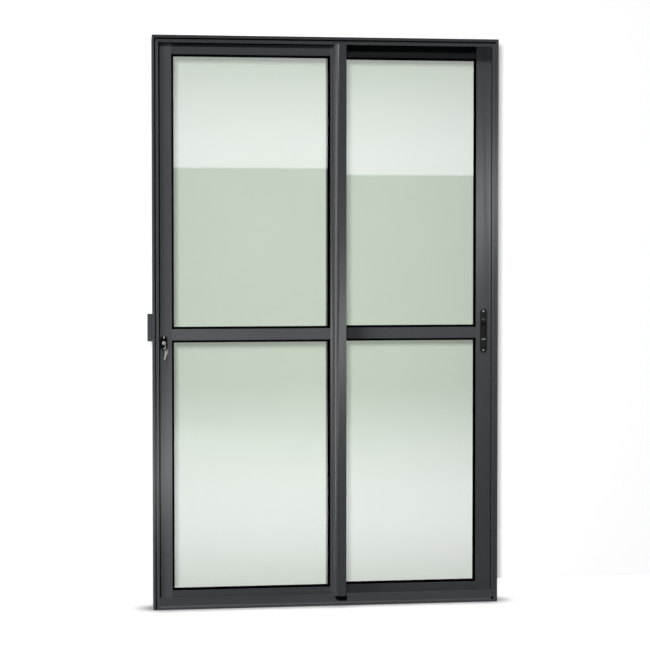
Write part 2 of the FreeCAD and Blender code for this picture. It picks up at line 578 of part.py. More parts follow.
def lock_set(edge):
    """Oval plates on both faces of the lock stile and the round cylinder through them."""
    across = f"{edge} + dim.stile / 2"
    near, far = f"-{TRACK} - dim.sash_depth / 2", f"-{TRACK} + dim.sash_depth / 2"
    plates = []
    for label, y in (("front", (f"{near} - dim.lock_plate", near)), ("rear", (far, f"{far} + dim.lock_plate"))):
        blank = slab(f"lock_plate_{label}_blank", "Y", across, y, "dim.lock_height", "dim.lock_width",
                     "dim.lock_length")
        bore = rod(f"lock_plate_{label}_bore", "Y", "dim.cylinder_radius + dim.cylinder_clear",
                   "dim.lock_plate * 3", across, f"{y[0]} - dim.lock_plate", "dim.lock_height")
        plates.append(cut(f"lock_plate_{label}", blank, bore))
    keep("lock_plates", group("lock_plates", *plates))
    start = f"{near} - dim.lock_plate - dim.cylinder_proud"
    end = f"{far} + dim.lock_plate"
    keep("lock_cylinder", rod("lock_cylinder", "Y", "dim.cylinder_radius", f"({end}) - ({start})", across,
                              start, "dim.lock_height"))


def lock_bore(edge):
    """Hole for the cylinder through the lock stile."""
    return rod("lock_bore", "Y", "dim.cylinder_radius + dim.cylinder_clear", "dim.sash_depth * 2",
               f"{edge} + dim.stile / 2", f"-{TRACK} - dim.sash_depth", "dim.lock_height")


def key_eye(middle, radius, reach=None):
    """Loop of a round hole, or of a long one whose end circles lie reach before and after the middle."""
    across, along = middle
    left, right = f"{across} - {radius}", f"{across} + {radius}"
    near, far = (f"{along} - {reach}", f"{along} + {reach}") if reach else (along, along)
    sides = ([(left, near)], [(right, far)]) if reach else ([], [])
    return [(across, f"{far} + {radius}", radius, LEFT), (left, far, radius, LEFT), *sides[0],
            (across, f"{near} - {radius}", radius, LEFT), (right, near, radius, LEFT), *sides[1]]


def lock_key(edge):
    """Key in the cylinder, its bow level and pierced near the outer end for the ring."""
    across = f"({edge} + dim.stile / 2)"
    face = f"({FRONT_SASH_FACE} - dim.lock_plate - dim.cylinder_proud)"
    root = f"({face} - dim.shank_length)"
    tip = f"({root} - dim.bow_length)"
    shoulder = f"{root} - (dim.bow_half - dim.shank_half)"
    bend = f"{tip} + dim.bow_half"
    bow = [(f"{across} - dim.shank_half", face), (f"{across} - dim.shank_half", root),
           (f"{across} - dim.bow_half", shoulder), (f"{across} - dim.bow_half", bend),
           (across, tip, "dim.bow_half", LEFT), (f"{across} + dim.bow_half", bend, "dim.bow_half", LEFT),
           (f"{across} + dim.bow_half", shoulder),
           (f"{across} + dim.shank_half", root), (f"{across} + dim.shank_half", face)]
    eye = key_eye((across, f"({tip} + dim.bridge + dim.eye_length / 2)"), "dim.eye_half",
                  "(dim.eye_length / 2 - dim.eye_half)")
    blank = extrude("lock_key", "XY", "dim.key_plate", bow, eye)
    return keep("lock_key", place(blank, z="dim.lock_height - dim.key_plate / 2"))


def wire_section(across, half):
    """Loop of an eight-sided wire section, half as thick on each side of its middle."""
    flat = f"{half} * tan(22.5deg)"
    return [(f"{across} + {half}", f"-{flat}"), (f"{across} + {half}", flat), (f"{across} + {flat}", half),
            (f"{across} - {flat}", half), (f"{across} - {half}", flat), (f"{across} - {half}", f"-{flat}"),
            (f"{across} - {flat}", f"-{half}"), (f"{across} + {flat}", f"-{half}")]


def key_ring(edge):
    """Split ring over the bow's bridge, leaning to the right, and the spare key that hangs from it."""
    aside = "dim.ring_radius * sin(dim.ring_lean * 1deg)"
    below = "dim.ring_radius * cos(dim.ring_lean * 1deg)"
    across = f"({edge} + dim.stile / 2)"
    bow_end = f"({FRONT_SASH_FACE} - dim.lock_plate - dim.cylinder_proud - dim.shank_length - dim.bow_length)"
    depth = f"({bow_end} + dim.bridge / 2)"
    crown = "(dim.lock_height + dim.key_plate / 2 + dim.hang_clear + dim.ring_wire)"
    ring = doc.addObject("Part::Revolution", "key_ring")
    ring.Source = outline("key_ring_wire", "XZ", wire_section("dim.ring_radius", "dim.ring_wire"))
    ring.Axis = FreeCAD.Vector(0, 0, 1)
    ring.Solid = True
    lean(ring, "90 - dim.ring_lean")
    keep("key_ring", place(ring, f"{across} + {aside}", depth, f"{crown} - {below}"))

    top = "dim.spare_eye + dim.spare_bridge - dim.bow_half"
    teeth = []
    for count in range(KEY_TEETH):
        root = f"-dim.spare_length + {2 * count + 1} * dim.tooth_pitch / 2"
        teeth += [("-dim.blade_half", root), ("-dim.blade_half + dim.tooth", f"{root} + dim.tooth_pitch / 2")]
    shape = [("dim.bow_half", top), ("0", f"{top} + dim.bow_half", "dim.bow_half", LEFT),
             ("-dim.bow_half", top, "dim.bow_half", LEFT), ("-dim.blade_half", "-dim.spare_neck"),
             *reversed(teeth), ("0", "-dim.spare_length"),
             ("dim.blade_half", "-dim.spare_length + dim.tooth_pitch"), ("dim.blade_half", "-dim.spare_neck")]
    blank = extrude("spare_key", "XZ", "dim.key_plate", shape, key_eye(("0", "0"), "dim.spare_eye"))
    drop = "(dim.spare_eye - dim.ring_wire - dim.hang_clear)"
    place(lean(blank, "dim.ring_lean"), f"{across} + 2 * {aside}", f"{depth} + dim.key_plate / 2",
          f"{crown} - 2 * {below} - {drop}")
    keep("spare_key", blank)


def latch_places(edge):
    """Middle of the flush latch across the stile, and the front face of the rear leaf."""
    return f"{edge} - dim.stile / 2", f"{TRACK} - dim.sash_depth / 2"


def latch_mortise(edge):
    """Hole for the flush latch's cup in the stile's front wall."""
    across, face = latch_places(edge)
    half = "(dim.recess_width / 2 + dim.cup_wall)"
    return box("latch_mortise", (f"{across} - {half}", f"{across} + {half}"),
               (f"{face} - dim.wall", f"{face} + dim.wall * 2"),
               (f"{LATCH_FLOOR} - dim.cup_wall", f"{LATCH_ROOF} + dim.cup_wall"))


def flush_latch(edge):
    """Flush latch: long plate round a finger cup with a sloped ledge, and the trigger in the cup's top."""
    across, face = latch_places(edge)
    front = f"({face} - dim.latch_plate)"
    back = f"({face} + dim.recess_depth)"
    plate = slab("flush_latch_plate", "Y", across, (front, face), "dim.latch_height", "dim.latch_width",
                 "dim.latch_length")
    half = "dim.recess_width / 2"
    cup = box("flush_latch_cup", (f"{across} - {half} - dim.cup_wall", f"{across} + {half} + dim.cup_wall"),
              (face, back), (f"{LATCH_FLOOR} - dim.cup_wall", f"{LATCH_ROOF} + dim.cup_wall"))
    hollow = extrude("flush_latch_hollow", "YZ", "dim.recess_width", [
        (front, LATCH_FLOOR), (f"{front} + dim.recess_ledge", f"{LATCH_FLOOR} + dim.recess_ledge"),
        (f"{back} - dim.cup_wall", f"{LATCH_FLOOR} + dim.recess_ledge"), (f"{back} - dim.cup_wall", LATCH_ROOF),
        (f"{front} - dim.wall", LATCH_ROOF), (f"{front} - dim.wall", LATCH_FLOOR)])
    place(hollow, f"{across} - {half}")
    keep("flush_latch", cut("flush_latch", join("flush_latch_body", plate, cup), hollow))
    top = f"({LATCH_ROOF} - dim.trigger_clear)"
    button = extrude("latch_trigger", "YZ", "dim.recess_width - 2 * dim.trigger_clear", [
        (front, top), (front, f"{top} - dim.trigger_flat"),
        (f"{front} + dim.trigger_slope", f"{top} - dim.trigger_length"),
        (f"{front} + dim.trigger_depth", f"{top} - dim.trigger_length"), (f"{front} + dim.trigger_depth", top)])
    keep("latch_trigger", place(button, f"{across} - {half} + dim.trigger_clear"))


def track_stops():
    """Rubber blocks in the sill where each leaf's travel ends."""
    limits = {
        -1: (f"{HALF_WIDTH} - {WEB_FACE} - dim.front_stop", f"{HALF_WIDTH} - {WEB_FACE}"),
        1: (f"-({HALF_WIDTH}) + {WEB_FACE}", f"-({HALF_WIDTH}) + {WEB_FACE} + dim.rear_stop"),
    }
    blocks = []
    for lane, x in limits.items():
        label = f"track_stop_{'front' if lane < 0 else 'rear'}"
        middle = f"{lane} * {TRACK}"
        blank = box(label + "_blank", x, (f"{middle} - dim.stop_width / 2", f"{middle} + dim.stop_width / 2"),
                    ("dim.sill_floor", "dim.stop_height"))
        groove = box(label + "_groove", (f"{x[0]} - dim.wall", f"{x[1]} + dim.wall"),
                     (f"{middle} - dim.track_width / 2", f"{middle} + dim.track_width / 2"),
                     ("dim.sill_floor - dim.wall", "dim.track_height"))
        blocks.append(cut(label, blank, groove))
    keep("track_stops", group("track_stops", *blocks))


LEFT_EDGE = f"(-({HALF_WIDTH}) + {SASH_EDGE})"
RIGHT_EDGE = f"({HALF_WIDTH} - {SASH_EDGE})"

left_jamb = frame_jamb(-1, "frame_left_jamb")
right_jamb = frame_jamb(1, "frame_right_jamb")
frame_head()
frame_sill(left_jamb, right_jamb)
strike_box()
keeper("lock_keeper", -1, -1, BOLT_HEIGHT)
keeper("latch_keeper", 1, 1, "dim.latch_height")
track_stops()

sash("front", -1, (LEFT_EDGE, "dim.front_meeting_edge"),
     (("front_lock_stile", "dim.stile"), ("front_meeting_stile", "dim.meeting_stile")),
     {"front_lock_stile": [lock_bore(LEFT_EDGE),
                           edge_mortise("lock_mortise", 1, LEFT_EDGE, -1, BOLT_HEIGHT)]})
meeting_pull()
interlock("front_interlock", -1, FRONT_HOOK, -1, FRONT_REACH)
lock_set(LEFT_EDGE)
lock_key(LEFT_EDGE)
key_ring(LEFT_EDGE)
face_plate("lock_face_plate", 1, LEFT_EDGE, -1, BOLT_HEIGHT)

sash("rear", 1, ("dim.rear_meeting_edge", RIGHT_EDGE),
     (("rear_meeting_stile", "dim.meeting_stile"), ("rear_latch_stile", "dim.stile")),
     {"rear_latch_stile": [latch_mortise(RIGHT_EDGE),
                           edge_mortise("latch_edge_mortise", -1, RIGHT_EDGE, 1, "dim.latch_height")]})
interlock("rear_interlock", 1, REAR_HOOK, 1, REAR_REACH)
flush_latch(RIGHT_EDGE)
face_plate("latch_face_plate", -1, RIGHT_EDGE, 1, "dim.latch_height")

doc.recompute()
for thing in doc.Objects:
    if any(flag in thing.State for flag in ("Invalid", "Error")):
        raise RuntimeError(f"{thing.Name} failed: {thing.State}")
os.makedirs("parts", exist_ok=True)
for node, solid in parts.items():
    if solid.Shape.isNull() or not solid.Shape.isValid():
        raise RuntimeError(f"{node} has a bad shape")
    solid.Shape.exportStep(f"parts/{node}.step")
print(len(parts), "nodes")
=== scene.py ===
import json
import logging
import math
from dataclasses import dataclass, field, replace
from enum import Enum
from typing import Any, Iterable, Optional

import bmesh
import bpy
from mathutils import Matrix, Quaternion, Vector


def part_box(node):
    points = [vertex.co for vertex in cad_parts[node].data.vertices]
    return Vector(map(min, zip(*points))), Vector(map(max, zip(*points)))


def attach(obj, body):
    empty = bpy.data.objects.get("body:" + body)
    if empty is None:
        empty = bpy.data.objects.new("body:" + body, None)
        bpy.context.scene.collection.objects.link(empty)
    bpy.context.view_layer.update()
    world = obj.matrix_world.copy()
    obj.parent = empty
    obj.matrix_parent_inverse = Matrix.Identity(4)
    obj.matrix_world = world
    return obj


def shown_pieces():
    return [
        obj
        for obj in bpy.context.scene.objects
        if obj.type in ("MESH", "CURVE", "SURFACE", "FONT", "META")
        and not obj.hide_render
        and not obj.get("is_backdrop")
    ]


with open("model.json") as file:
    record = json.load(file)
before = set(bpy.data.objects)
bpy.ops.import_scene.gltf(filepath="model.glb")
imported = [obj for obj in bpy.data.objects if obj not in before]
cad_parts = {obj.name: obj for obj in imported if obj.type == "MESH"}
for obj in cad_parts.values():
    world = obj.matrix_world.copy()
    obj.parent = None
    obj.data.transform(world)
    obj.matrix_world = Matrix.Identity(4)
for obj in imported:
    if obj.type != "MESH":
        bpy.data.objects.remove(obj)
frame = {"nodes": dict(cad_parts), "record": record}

LOG = logging.getLogger("patio_door")
MM = 0.001
PICTURE = 650
SENSOR_MM = 36.0
NOISE_RANGE = (0.3, 0.7)
HEAD_SEGMENTS = 20
HEAD_RINGS = 10
FIBRE_SIDES = 4
FIBRE_TAPER = 0.4
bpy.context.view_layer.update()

Point = tuple[float, float, float]
Colour = tuple[float, float, float, float]
Tree = bpy.types.NodeTree
Socket = bpy.types.NodeSocket
Node = bpy.types.Node
Material = bpy.types.Material
Item = bpy.types.Object
Group = bpy.types.Collection
Mesh = bpy.types.Mesh
Shape = bmesh.types.BMesh


class Body(Enum):
    """The bodies that pieces ride on."""

    FRAME = "frame"
    FRONT = "front_sash"
    REAR = "rear_sash"
    TRIGGER = "latch_trigger"


def linear(hex_colour: str) -> Colour:
    """Turn an sRGB hex value into a linear colour.

    Args:
        hex_colour: Six hex digits after a hash sign.

    Returns:
        Red, green, blue and alpha.
    """
    values = [int(hex_colour[i:i + 2], 16) / 255 for i in (1, 3, 5)]
    red, green, blue = (v / 12.92 if v <= 0.04045 else ((v + 0.055) / 1.055) ** 2.4 for v in values)
    return red, green, blue, 1.0


def add_node(tree: Tree, kind: str, inputs: Optional[dict] = None, **settings: Any) -> Node:
    """Add a node with its settings and links.

    Args:
        tree: Node tree that gets the node.
        kind: Type name of the node.
        inputs: Values or output sockets by input name or number.
        settings: Properties of the node itself.

    Returns:
        The new node.
    """
    made = tree.nodes.new(kind)
    for name, value in settings.items():
        setattr(made, name, value)
    for key, value in (inputs or {}).items():
        if isinstance(value, Socket):
            tree.links.new(value, made.inputs[key])
        else:
            made.inputs[key].default_value = value
    return made


def new_material(name: str) -> tuple[Material, Tree]:
    """Make a material with an empty node tree.

    Args:
        name: Name of the material.

    Returns:
        The material and its tree.
    """
    made = bpy.data.materials.new(name)
    made.use_nodes = True
    made.node_tree.nodes.clear()
    return made, made.node_tree


def end_surface(tree: Tree, inputs: dict[str, Any]) -> None:
    """End a material's tree with one principled shader.

    Args:
        tree: Node tree of the material.
        inputs: Values or sockets for the shader.
    """
    shader = add_node(tree, "ShaderNodeBsdfPrincipled", inputs).outputs["BSDF"]
    add_node(tree, "ShaderNodeOutputMaterial", {"Surface": shader})


def grain(tree: Tree, size_mm: float, detail: float = 2.0, stretch: Point = (1, 1, 1)) -> Socket:
    """Add noise of a real size on object coordinates.

    Args:
        tree: Node tree of the material.
        size_mm: Size of one grain in millimetres.
        detail: Octaves of the noise.
        stretch: Factors on the three axes, below 1 for a pattern drawn out along that axis.

    Returns:
        The noise value.
    """
    place = add_node(tree, "ShaderNodeTexCoord").outputs["Object"]
    mapped = add_node(tree, "ShaderNodeMapping", {"Vector": place, "Scale": stretch}).outputs["Vector"]
    inputs = {"Vector": mapped, "Scale": 1 / (size_mm * MM), "Detail": detail}
    return add_node(tree, "ShaderNodeTexNoise", inputs).outputs["Fac"]


@dataclass(frozen=True)
class Opaque:
    """What opaque finishes share: two tones, a grain of a real size, its roughness and its relief."""

    name: str
    dark: str
    light: str
    roughness: float = 0.5
    smoother: float = 0.0
    rougher: float = 0.0
    grain_mm: float = 1.0
    detail: float = 2.0
    stretch: Point = (1.0, 1.0, 1.0)
    patch_mm: float = 0.0
    bump: float = 0.0
    bump_mm: float = 0.1
    gloss: float = 0.5
    ior: float = 1.5
    metallic: float = 0.0
    sheen: float = 0.0

    def material(self) -> Material:
        """Build the finish; the tones follow broad patches where it has them, and else the grain.

        Returns:
            The material.
        """
        made, tree = new_material(self.name)
        fine = grain(tree, self.grain_mm, self.detail, self.stretch)
        broad = grain(tree, self.patch_mm) if self.patch_mm else fine
        inputs = {"Factor": broad, 6: linear(self.dark), 7: linear(self.light)}
        colour = add_node(tree, "ShaderNodeMix", inputs, data_type="RGBA").outputs[2]
        low, high = NOISE_RANGE
        inputs = {"Value": fine, "From Min": low, "From Max": high,
                  "To Min": self.roughness - self.smoother, "To Max": self.roughness + self.rougher}
        rough = add_node(tree, "ShaderNodeMapRange", inputs).outputs["Result"]
        inputs = {"Height": fine, "Strength": self.bump, "Distance": self.bump_mm * MM}
        relief = add_node(tree, "ShaderNodeBump", inputs).outputs["Normal"]
        end_surface(tree, {"Base Color": colour, "Roughness": rough, "Normal": relief, "IOR": self.ior,
                           "Specular IOR Level": self.gloss, "Metallic": self.metallic,
                           "Sheen Weight": self.sheen})
        return made


@dataclass(frozen=True)
class PowderCoat(Opaque):
    """Polyester powder coat on extruded aluminium: an even satin skin with a fine orange-peel grit.

    The real grit is 0.2 mm; it is drawn coarser so that it shows.
    """

    roughness: float = 0.28
    smoother: float = 0.05
    rougher: float = 0.05
    grain_mm: float = 1.1
    detail: float = 3.0
    patch_mm: float = 260.0
    bump: float = 0.12
    bump_mm: float = 0.15


@dataclass(frozen=True)
class Rubber(Opaque):
    """Extruded synthetic rubber: near black, dull, with fine drag marks along the profile."""

    dark: str = "#040404"
    light: str = "#0b0b0c"
    roughness: float = 0.7
    grain_mm: float = 1.4
    stretch: Point = (1.0, 1.0, 0.25)
    bump: float = 0.1
    gloss: float = 0.12
    ior: float = 1.52


@dataclass(frozen=True)
class Enamel(Opaque):
    """Satin enamel or moulded plastic: smooth, with a soft sheen and a faint mottling."""

    roughness: float = 0.34
    smoother: float = 0.04
    rougher: float = 0.06
    grain_mm: float = 0.8
    bump: float = 0.08
    bump_mm: float = 0.08


@dataclass(frozen=True)
class PlatedMetal(Opaque):
    """Plated metal: bright, with fine lines left by the tool drawn out along one axis."""

    smoother: float = 0.06
    rougher: float = 0.08
    grain_mm: float = 0.5
    stretch: Point = (1.0, 1.0, 0.08)
    bump: float = 0.06
    bump_mm: float = 0.05
    metallic: float = 1.0


@dataclass(frozen=True)
class PileWool(Opaque):
    """Silicone-treated woven pile: dull charcoal fibre with a soft sheen."""

    name: str = "weather_pile"
    dark: str = "#1b1c1e"
    light: str = "#35373a"
    roughness: float = 0.9
    grain_mm: float = 2.0
    gloss: float = 0.2
    sheen: float = 0.3


@dataclass(frozen=True)
class FloatGlass:
    """Tinted float glass: grey-green body, sharp reflections and the faint roll of the float bath."""

    name: str = "tinted_float_glass"
    colour: str = "#b4bdb1"
    roll_mm: float = 180.0
    bump: float = 0.02
    bump_mm: float = 0.4
    ior: float = 1.52

    def material(self) -> Material:
        """Build the glass.

        Returns:
            The material.
        """
        made, tree = new_material(self.name)
        roll = grain(tree, self.roll_mm, detail=0.0)
        inputs = {"Height": roll, "Strength": self.bump, "Distance": self.bump_mm * MM}
        relief = add_node(tree, "ShaderNodeBump", inputs).outputs["Normal"]
        end_surface(tree, {"Base Color": linear(self.colour), "Roughness": 0.0, "IOR": self.ior,
                           "Transmission Weight": 1.0, "Normal": relief})
        return made


class Finish(Enum):
    """The finishes of the door."""

    FRAME_COAT = PowderCoat("graphite_powder_coat_frame", "#3f4144", "#45474a")
    SASH_COAT = PowderCoat("graphite_powder_coat_leaf", "#434548", "#494b4e")
    GLASS = FloatGlass()
    GASKET = Rubber("black_glazing_rubber")
    # Glossy black of the groove's bead: painted shade in the groove, which still takes the streak's
    # sheen.
    BEAD = Rubber("glossy_black_rubber", roughness=0.28, gloss=0.5)
    STOP = Rubber("black_stop_rubber", "#0a0a0a", "#161616", grain_mm=2.5)
    BLACK_ENAMEL = Enamel("satin_black_enamel", "#0f0f10", "#171718", gloss=0.36)
    BLACK_PLASTIC = Enamel("moulded_black_plastic", "#101011", "#19191a", 0.4, gloss=0.3)
    NICKEL = PlatedMetal("nickel_plate", "#c6c7c7", "#e6e6e5", 0.3)
    ZINC = PlatedMetal("zinc_plated_steel", "#8f9497", "#b4b8ba", 0.38)
    NYLON = Enamel("natural_nylon", "#d2cfc4", "#dedbd1", 0.48, grain_mm=1.2)
    PILE = PileWool()

    def material(self) -> Material:
        """Give the finish's material, built on first use."""
        found = bpy.data.materials.get(self.value.name)
        return found or self.value.material()


SLOTS = {
    "frame_coat": Finish.FRAME_COAT, "sash_coat": Finish.SASH_COAT, "glass": Finish.GLASS,
    "gasket": Finish.GASKET, "black_coat": Finish.BLACK_ENAMEL, "black_plastic": Finish.BLACK_PLASTIC,
    "bright_metal": Finish.NICKEL, "plain_steel": Finish.ZINC, "nylon": Finish.NYLON,
    "stop_rubber": Finish.STOP,
}


def dress(piece: Item, finish: Finish) -> None:
    """Give every slot of a piece one finish.

    Args:
        piece: Object to dress.
        finish: Finish that it gets.
    """
    piece.data.materials.clear()
    piece.data.materials.append(finish.material())


def settle(piece: Item, body: Body) -> None:
    """Tie a finished piece to its body and report it.

    Args:
        piece: Object at the origin with its place in its mesh.
        body: Body that it rides on.
    """
    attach(piece, body.value)
    LOG.info("%s rides on %s, %d faces", piece.name, body.value, len(piece.data.polygons))


def mesh_object(name: str, mesh: Mesh) -> Item:
    """Link a mesh into the scene as an object at the origin.

    Args:
        name: Name of the object.
        mesh: Its mesh.

    Returns:
        The new object.
    """
    made = bpy.data.objects.new(name, mesh)
    bpy.context.scene.collection.objects.link(made)
    return made


def from_bmesh(name: str, shape: Shape) -> Item:
    """Turn a finished bmesh into an object and free it.

    Args:
        name: Name of the object.
        shape: Closed shape in the row frame.

    Returns:
        The new object.
    """
    bmesh.ops.recalc_face_normals(shape, faces=shape.faces)
    mesh = bpy.data.meshes.new(name)
    shape.to_mesh(mesh)
    shape.free()
    return mesh_object(name, mesh)


def add_block(shape: Shape, low: Point, high: Point) -> None:
    """Add a plain block to a bmesh.

    Args:
        shape: Mesh that gets the block.
        low: Its lowest corner.
        high: Its highest corner.
    """
    for vertex in bmesh.ops.create_cube(shape, size=1.0)["verts"]:
        vertex.co = [a + (b - a) * (c + 0.5) for a, b, c in zip(low, high, vertex.co)]


@dataclass
class Spots:
    """Places on one body where a repeated thing stands, each with its direction and its size."""

    points: list[Point] = field(default_factory=list)
    axes: list[Point] = field(default_factory=list)
    sizes: list[float] = field(default_factory=list)

    def add(self, point: Point, axis: Point, size: float) -> None:
        """Note one place.

        Args:
            point: Place in the row frame.
            axis: Direction of what stands there.
            size: Its size in metres.
        """
        self.points.append(point)
        self.axes.append(axis)
        self.sizes.append(size)

    def carrier(self, name: str, joined: bool) -> Item:
        """Make the scratch mesh that a geometry tree starts from.

        Args:
            name: Name of the object.
            joined: True where each pair of places is the two ends of a line.

        Returns:
            The scratch object.
        """
        edges = [(i, i + 1) for i in range(0, len(self.points), 2)] if joined else []
        mesh = bpy.data.meshes.new(name)
        mesh.from_pydata(self.points, edges, [])
        mesh.attributes.new("axis", "FLOAT_VECTOR", "POINT")
        mesh.attributes.new("size", "FLOAT", "POINT")
        for item, direction in zip(mesh.attributes["axis"].data, self.axes):
            item.vector = direction
        for item, size in zip(mesh.attributes["size"].data, self.sizes):
            item.value = size
        return mesh_object(name, mesh)


def spots_by_body() -> dict[Body, Spots]:
    """Start an empty list of places for each body."""
    return {body: Spots() for body in Body}


def grow(scratch: Item, tree: Tree, **values: Any) -> Item:
    """Run a geometry tree on a scratch object and keep the result as a plain mesh.

    Args:
        scratch: Object that the tree starts from; it is removed.
        tree: Geometry node tree with named inputs.
        values: Inputs by name, with spaces written as underscores.

    Returns:
        An object with the finished mesh.
    """
    modifier = scratch.modifiers.new(tree.name, "NODES")
    modifier.node_group = tree
    for item in tree.interface.items_tree:
        key = item.name.replace(" ", "_")
        if item.item_type == "SOCKET" and item.in_out == "INPUT" and key in values:
            modifier[item.identifier] = values[key]
    bpy.context.view_layer.update()
    graph = bpy.context.evaluated_depsgraph_get()
    mesh = bpy.data.meshes.new_from_object(scratch.evaluated_get(graph))
    name = scratch.name
    bpy.data.objects.remove(scratch)
    mesh.name = name
    return mesh_object(name, mesh)


class GeometryTree:
    """A geometry node tree under construction."""

    def __init__(self, name: str, **inputs: float) -> None:
        """Start the tree.

        Args:
            name: Name of the tree.
            inputs: Number inputs with their usual values, with spaces written as underscores.
        """
        self.tree = bpy.data.node_groups.new(name, "GeometryNodeTree")
        sockets = self.tree.interface
        sockets.new_socket("Geometry", in_out="INPUT", socket_type="NodeSocketGeometry")
        for key, value in inputs.items():
            kind = "NodeSocketInt" if isinstance(value, int) else "NodeSocketFloat"
            made = sockets.new_socket(key.replace("_", " "), in_out="INPUT", socket_type=kind)
            made.default_value = value
        sockets.new_socket("Material", in_out="INPUT", socket_type="NodeSocketMaterial")
        sockets.new_socket("Geometry", in_out="OUTPUT", socket_type="NodeSocketGeometry")
        self.given = self.add("NodeGroupInput").outputs

    def add(self, kind: str, inputs: Optional[dict] = None, **settings: Any) -> Node:
        """Add a node to this tree."""
        return add_node(self.tree, kind, inputs, **settings)

    def stand(self, points: Socket, thing: Socket, scale: Socket) -> Socket:
        """Stand a copy of a thing on each point, turned to the stored axis.

        Args:
            points: Points that carry the copies.
            thing: Geometry that is copied, upright.
            scale: Scale of each copy.

        Returns:
            The instances.
        """
        stored = self.add("GeometryNodeInputNamedAttribute", {"Name": "axis"}, data_type="FLOAT_VECTOR")
        inputs = {"Vector": stored.outputs["Attribute"]}
        turn = self.add("FunctionNodeAlignRotationToVector", inputs, axis="Z").outputs[0]
        inputs = {"Points": points, "Instance": thing, "Rotation": turn, "Scale": scale}
        return self.add("GeometryNodeInstanceOnPoints", inputs).outputs[0]

    def close(self, instances: Socket) -> Tree:
        """Realize the instances, give them the material and end the tree.

        Args:
            instances: Instances to keep.

        Returns:
            The finished tree.
        """
        real = self.add("GeometryNodeRealizeInstances", {"Geometry": instances}).outputs[0]
        inputs = {"Geometry": real, "Material": self.given["Material"]}
        done = self.add("GeometryNodeSetMaterial", inputs).outputs[0]
        self.add("NodeGroupOutput", {"Geometry": done})
        return self.tree


def screw_tree() -> Tree:
    """Build the tree of domed screws with a cross recess.

    Returns:
        A tree that puts one screw on each point; its inputs are shares of the head's radius.
    """
    maker = GeometryTree("domed_screws", Dome=0.45, Recess_width=0.3, Recess_depth=0.4,
                         Recess_reach=1.15, Seed=7)
    given = maker.given
    inputs = {"Segments": HEAD_SEGMENTS, "Rings": HEAD_RINGS, "Radius": 1.0}
    ball = maker.add("GeometryNodeMeshUVSphere", inputs).outputs["Mesh"]
    flat = maker.add("ShaderNodeCombineXYZ", {"X": 1.0, "Y": 1.0, "Z": given["Dome"]}).outputs[0]
    head = maker.add("GeometryNodeTransform", {"Geometry": ball, "Scale": flat}).outputs[0]
    top = maker.add("ShaderNodeCombineXYZ", {"Z": given["Dome"]}).outputs[0]
    # A bar's middle is at the crown, so half its height is the recess.
    inputs = {0: given["Recess depth"], 1: 2.0}
    deep = maker.add("ShaderNodeMath", inputs, operation="MULTIPLY").outputs[0]
    long, width = given["Recess reach"], given["Recess width"]
    arms = maker.add("GeometryNodeJoinGeometry")
    for arm in ({"X": long, "Y": width, "Z": deep}, {"X": width, "Y": long, "Z": deep}):
        size = maker.add("ShaderNodeCombineXYZ", arm).outputs[0]
        bar = maker.add("GeometryNodeMeshCube", {"Size": size}).outputs["Mesh"]
        moved = maker.add("GeometryNodeTransform", {"Geometry": bar, "Translation": top}).outputs[0]
        maker.tree.links.new(moved, arms.inputs[0])
    pierced = maker.add("GeometryNodeMeshBoolean", operation="DIFFERENCE")
    maker.tree.links.new(head, pierced.inputs["Mesh 1"])
    maker.tree.links.new(arms.outputs[0], pierced.inputs["Mesh 2"])
    points = maker.add("GeometryNodeMeshToPoints", {"Mesh": given["Geometry"]}).outputs[0]
    stored = maker.add("GeometryNodeInputNamedAttribute", {"Name": "size"}, data_type="FLOAT")
    placed = maker.stand(points, pierced.outputs["Mesh"], stored.outputs["Attribute"])
    spin = maker.add("FunctionNodeRandomValue", {"Seed": given["Seed"]}, data_type="FLOAT")
    spin.inputs[3].default_value = math.pi
    angle = maker.add("ShaderNodeCombineXYZ", {"Z": spin.outputs[1]}).outputs[0]
    spun = maker.add("GeometryNodeRotateInstances", {"Instances": placed, "Rotation": angle}).outputs[0]
    return maker.close(spun)


def pile_tree() -> Tree:
    """Build the tree of weather pile: rows of fibres along lines.

    Returns:
        A tree whose fibres stand along the stored axis and are as long as the stored size.
    """
    maker = GeometryTree("pile_fibres", Spacing=0.002, Fibre_radius=0.0006, Lean=0.16, Seed=11)
    given = maker.given
    curve = maker.add("GeometryNodeMeshToCurve", {"Mesh": given["Geometry"]}).outputs[0]
    inputs = {"Curve": curve, "Length": given["Spacing"]}
    dots = maker.add("GeometryNodeCurveToPoints", inputs, mode="LENGTH").outputs[0]
    inputs = {0: given["Fibre radius"], 1: FIBRE_TAPER}
    tip = maker.add("ShaderNodeMath", inputs, operation="MULTIPLY").outputs[0]
    inputs = {"Vertices": FIBRE_SIDES, "Depth": 1.0, "Radius Top": tip,
              "Radius Bottom": given["Fibre radius"]}
    fibre = maker.add("GeometryNodeMeshCone", inputs).outputs["Mesh"]
    stored = maker.add("GeometryNodeInputNamedAttribute", {"Name": "size"}, data_type="FLOAT")
    inputs = {"X": 1.0, "Y": 1.0, "Z": stored.outputs["Attribute"]}
    placed = maker.stand(dots, fibre, maker.add("ShaderNodeCombineXYZ", inputs).outputs[0])
    inputs = {0: given["Lean"], 1: -1.0}
    back = maker.add("ShaderNodeMath", inputs, operation="MULTIPLY").outputs[0]
    tilt = maker.add("FunctionNodeRandomValue", {"Seed": given["Seed"]}, data_type="FLOAT_VECTOR")
    for socket, lean in zip(tilt.inputs, (back, given["Lean"])):
        limit = maker.add("ShaderNodeCombineXYZ", {"X": lean, "Y": lean}).outputs[0]
        maker.tree.links.new(limit, socket)
    inputs = {"Instances": placed, "Rotation": tilt.outputs[0]}
    return maker.close(maker.add("GeometryNodeRotateInstances", inputs).outputs[0])


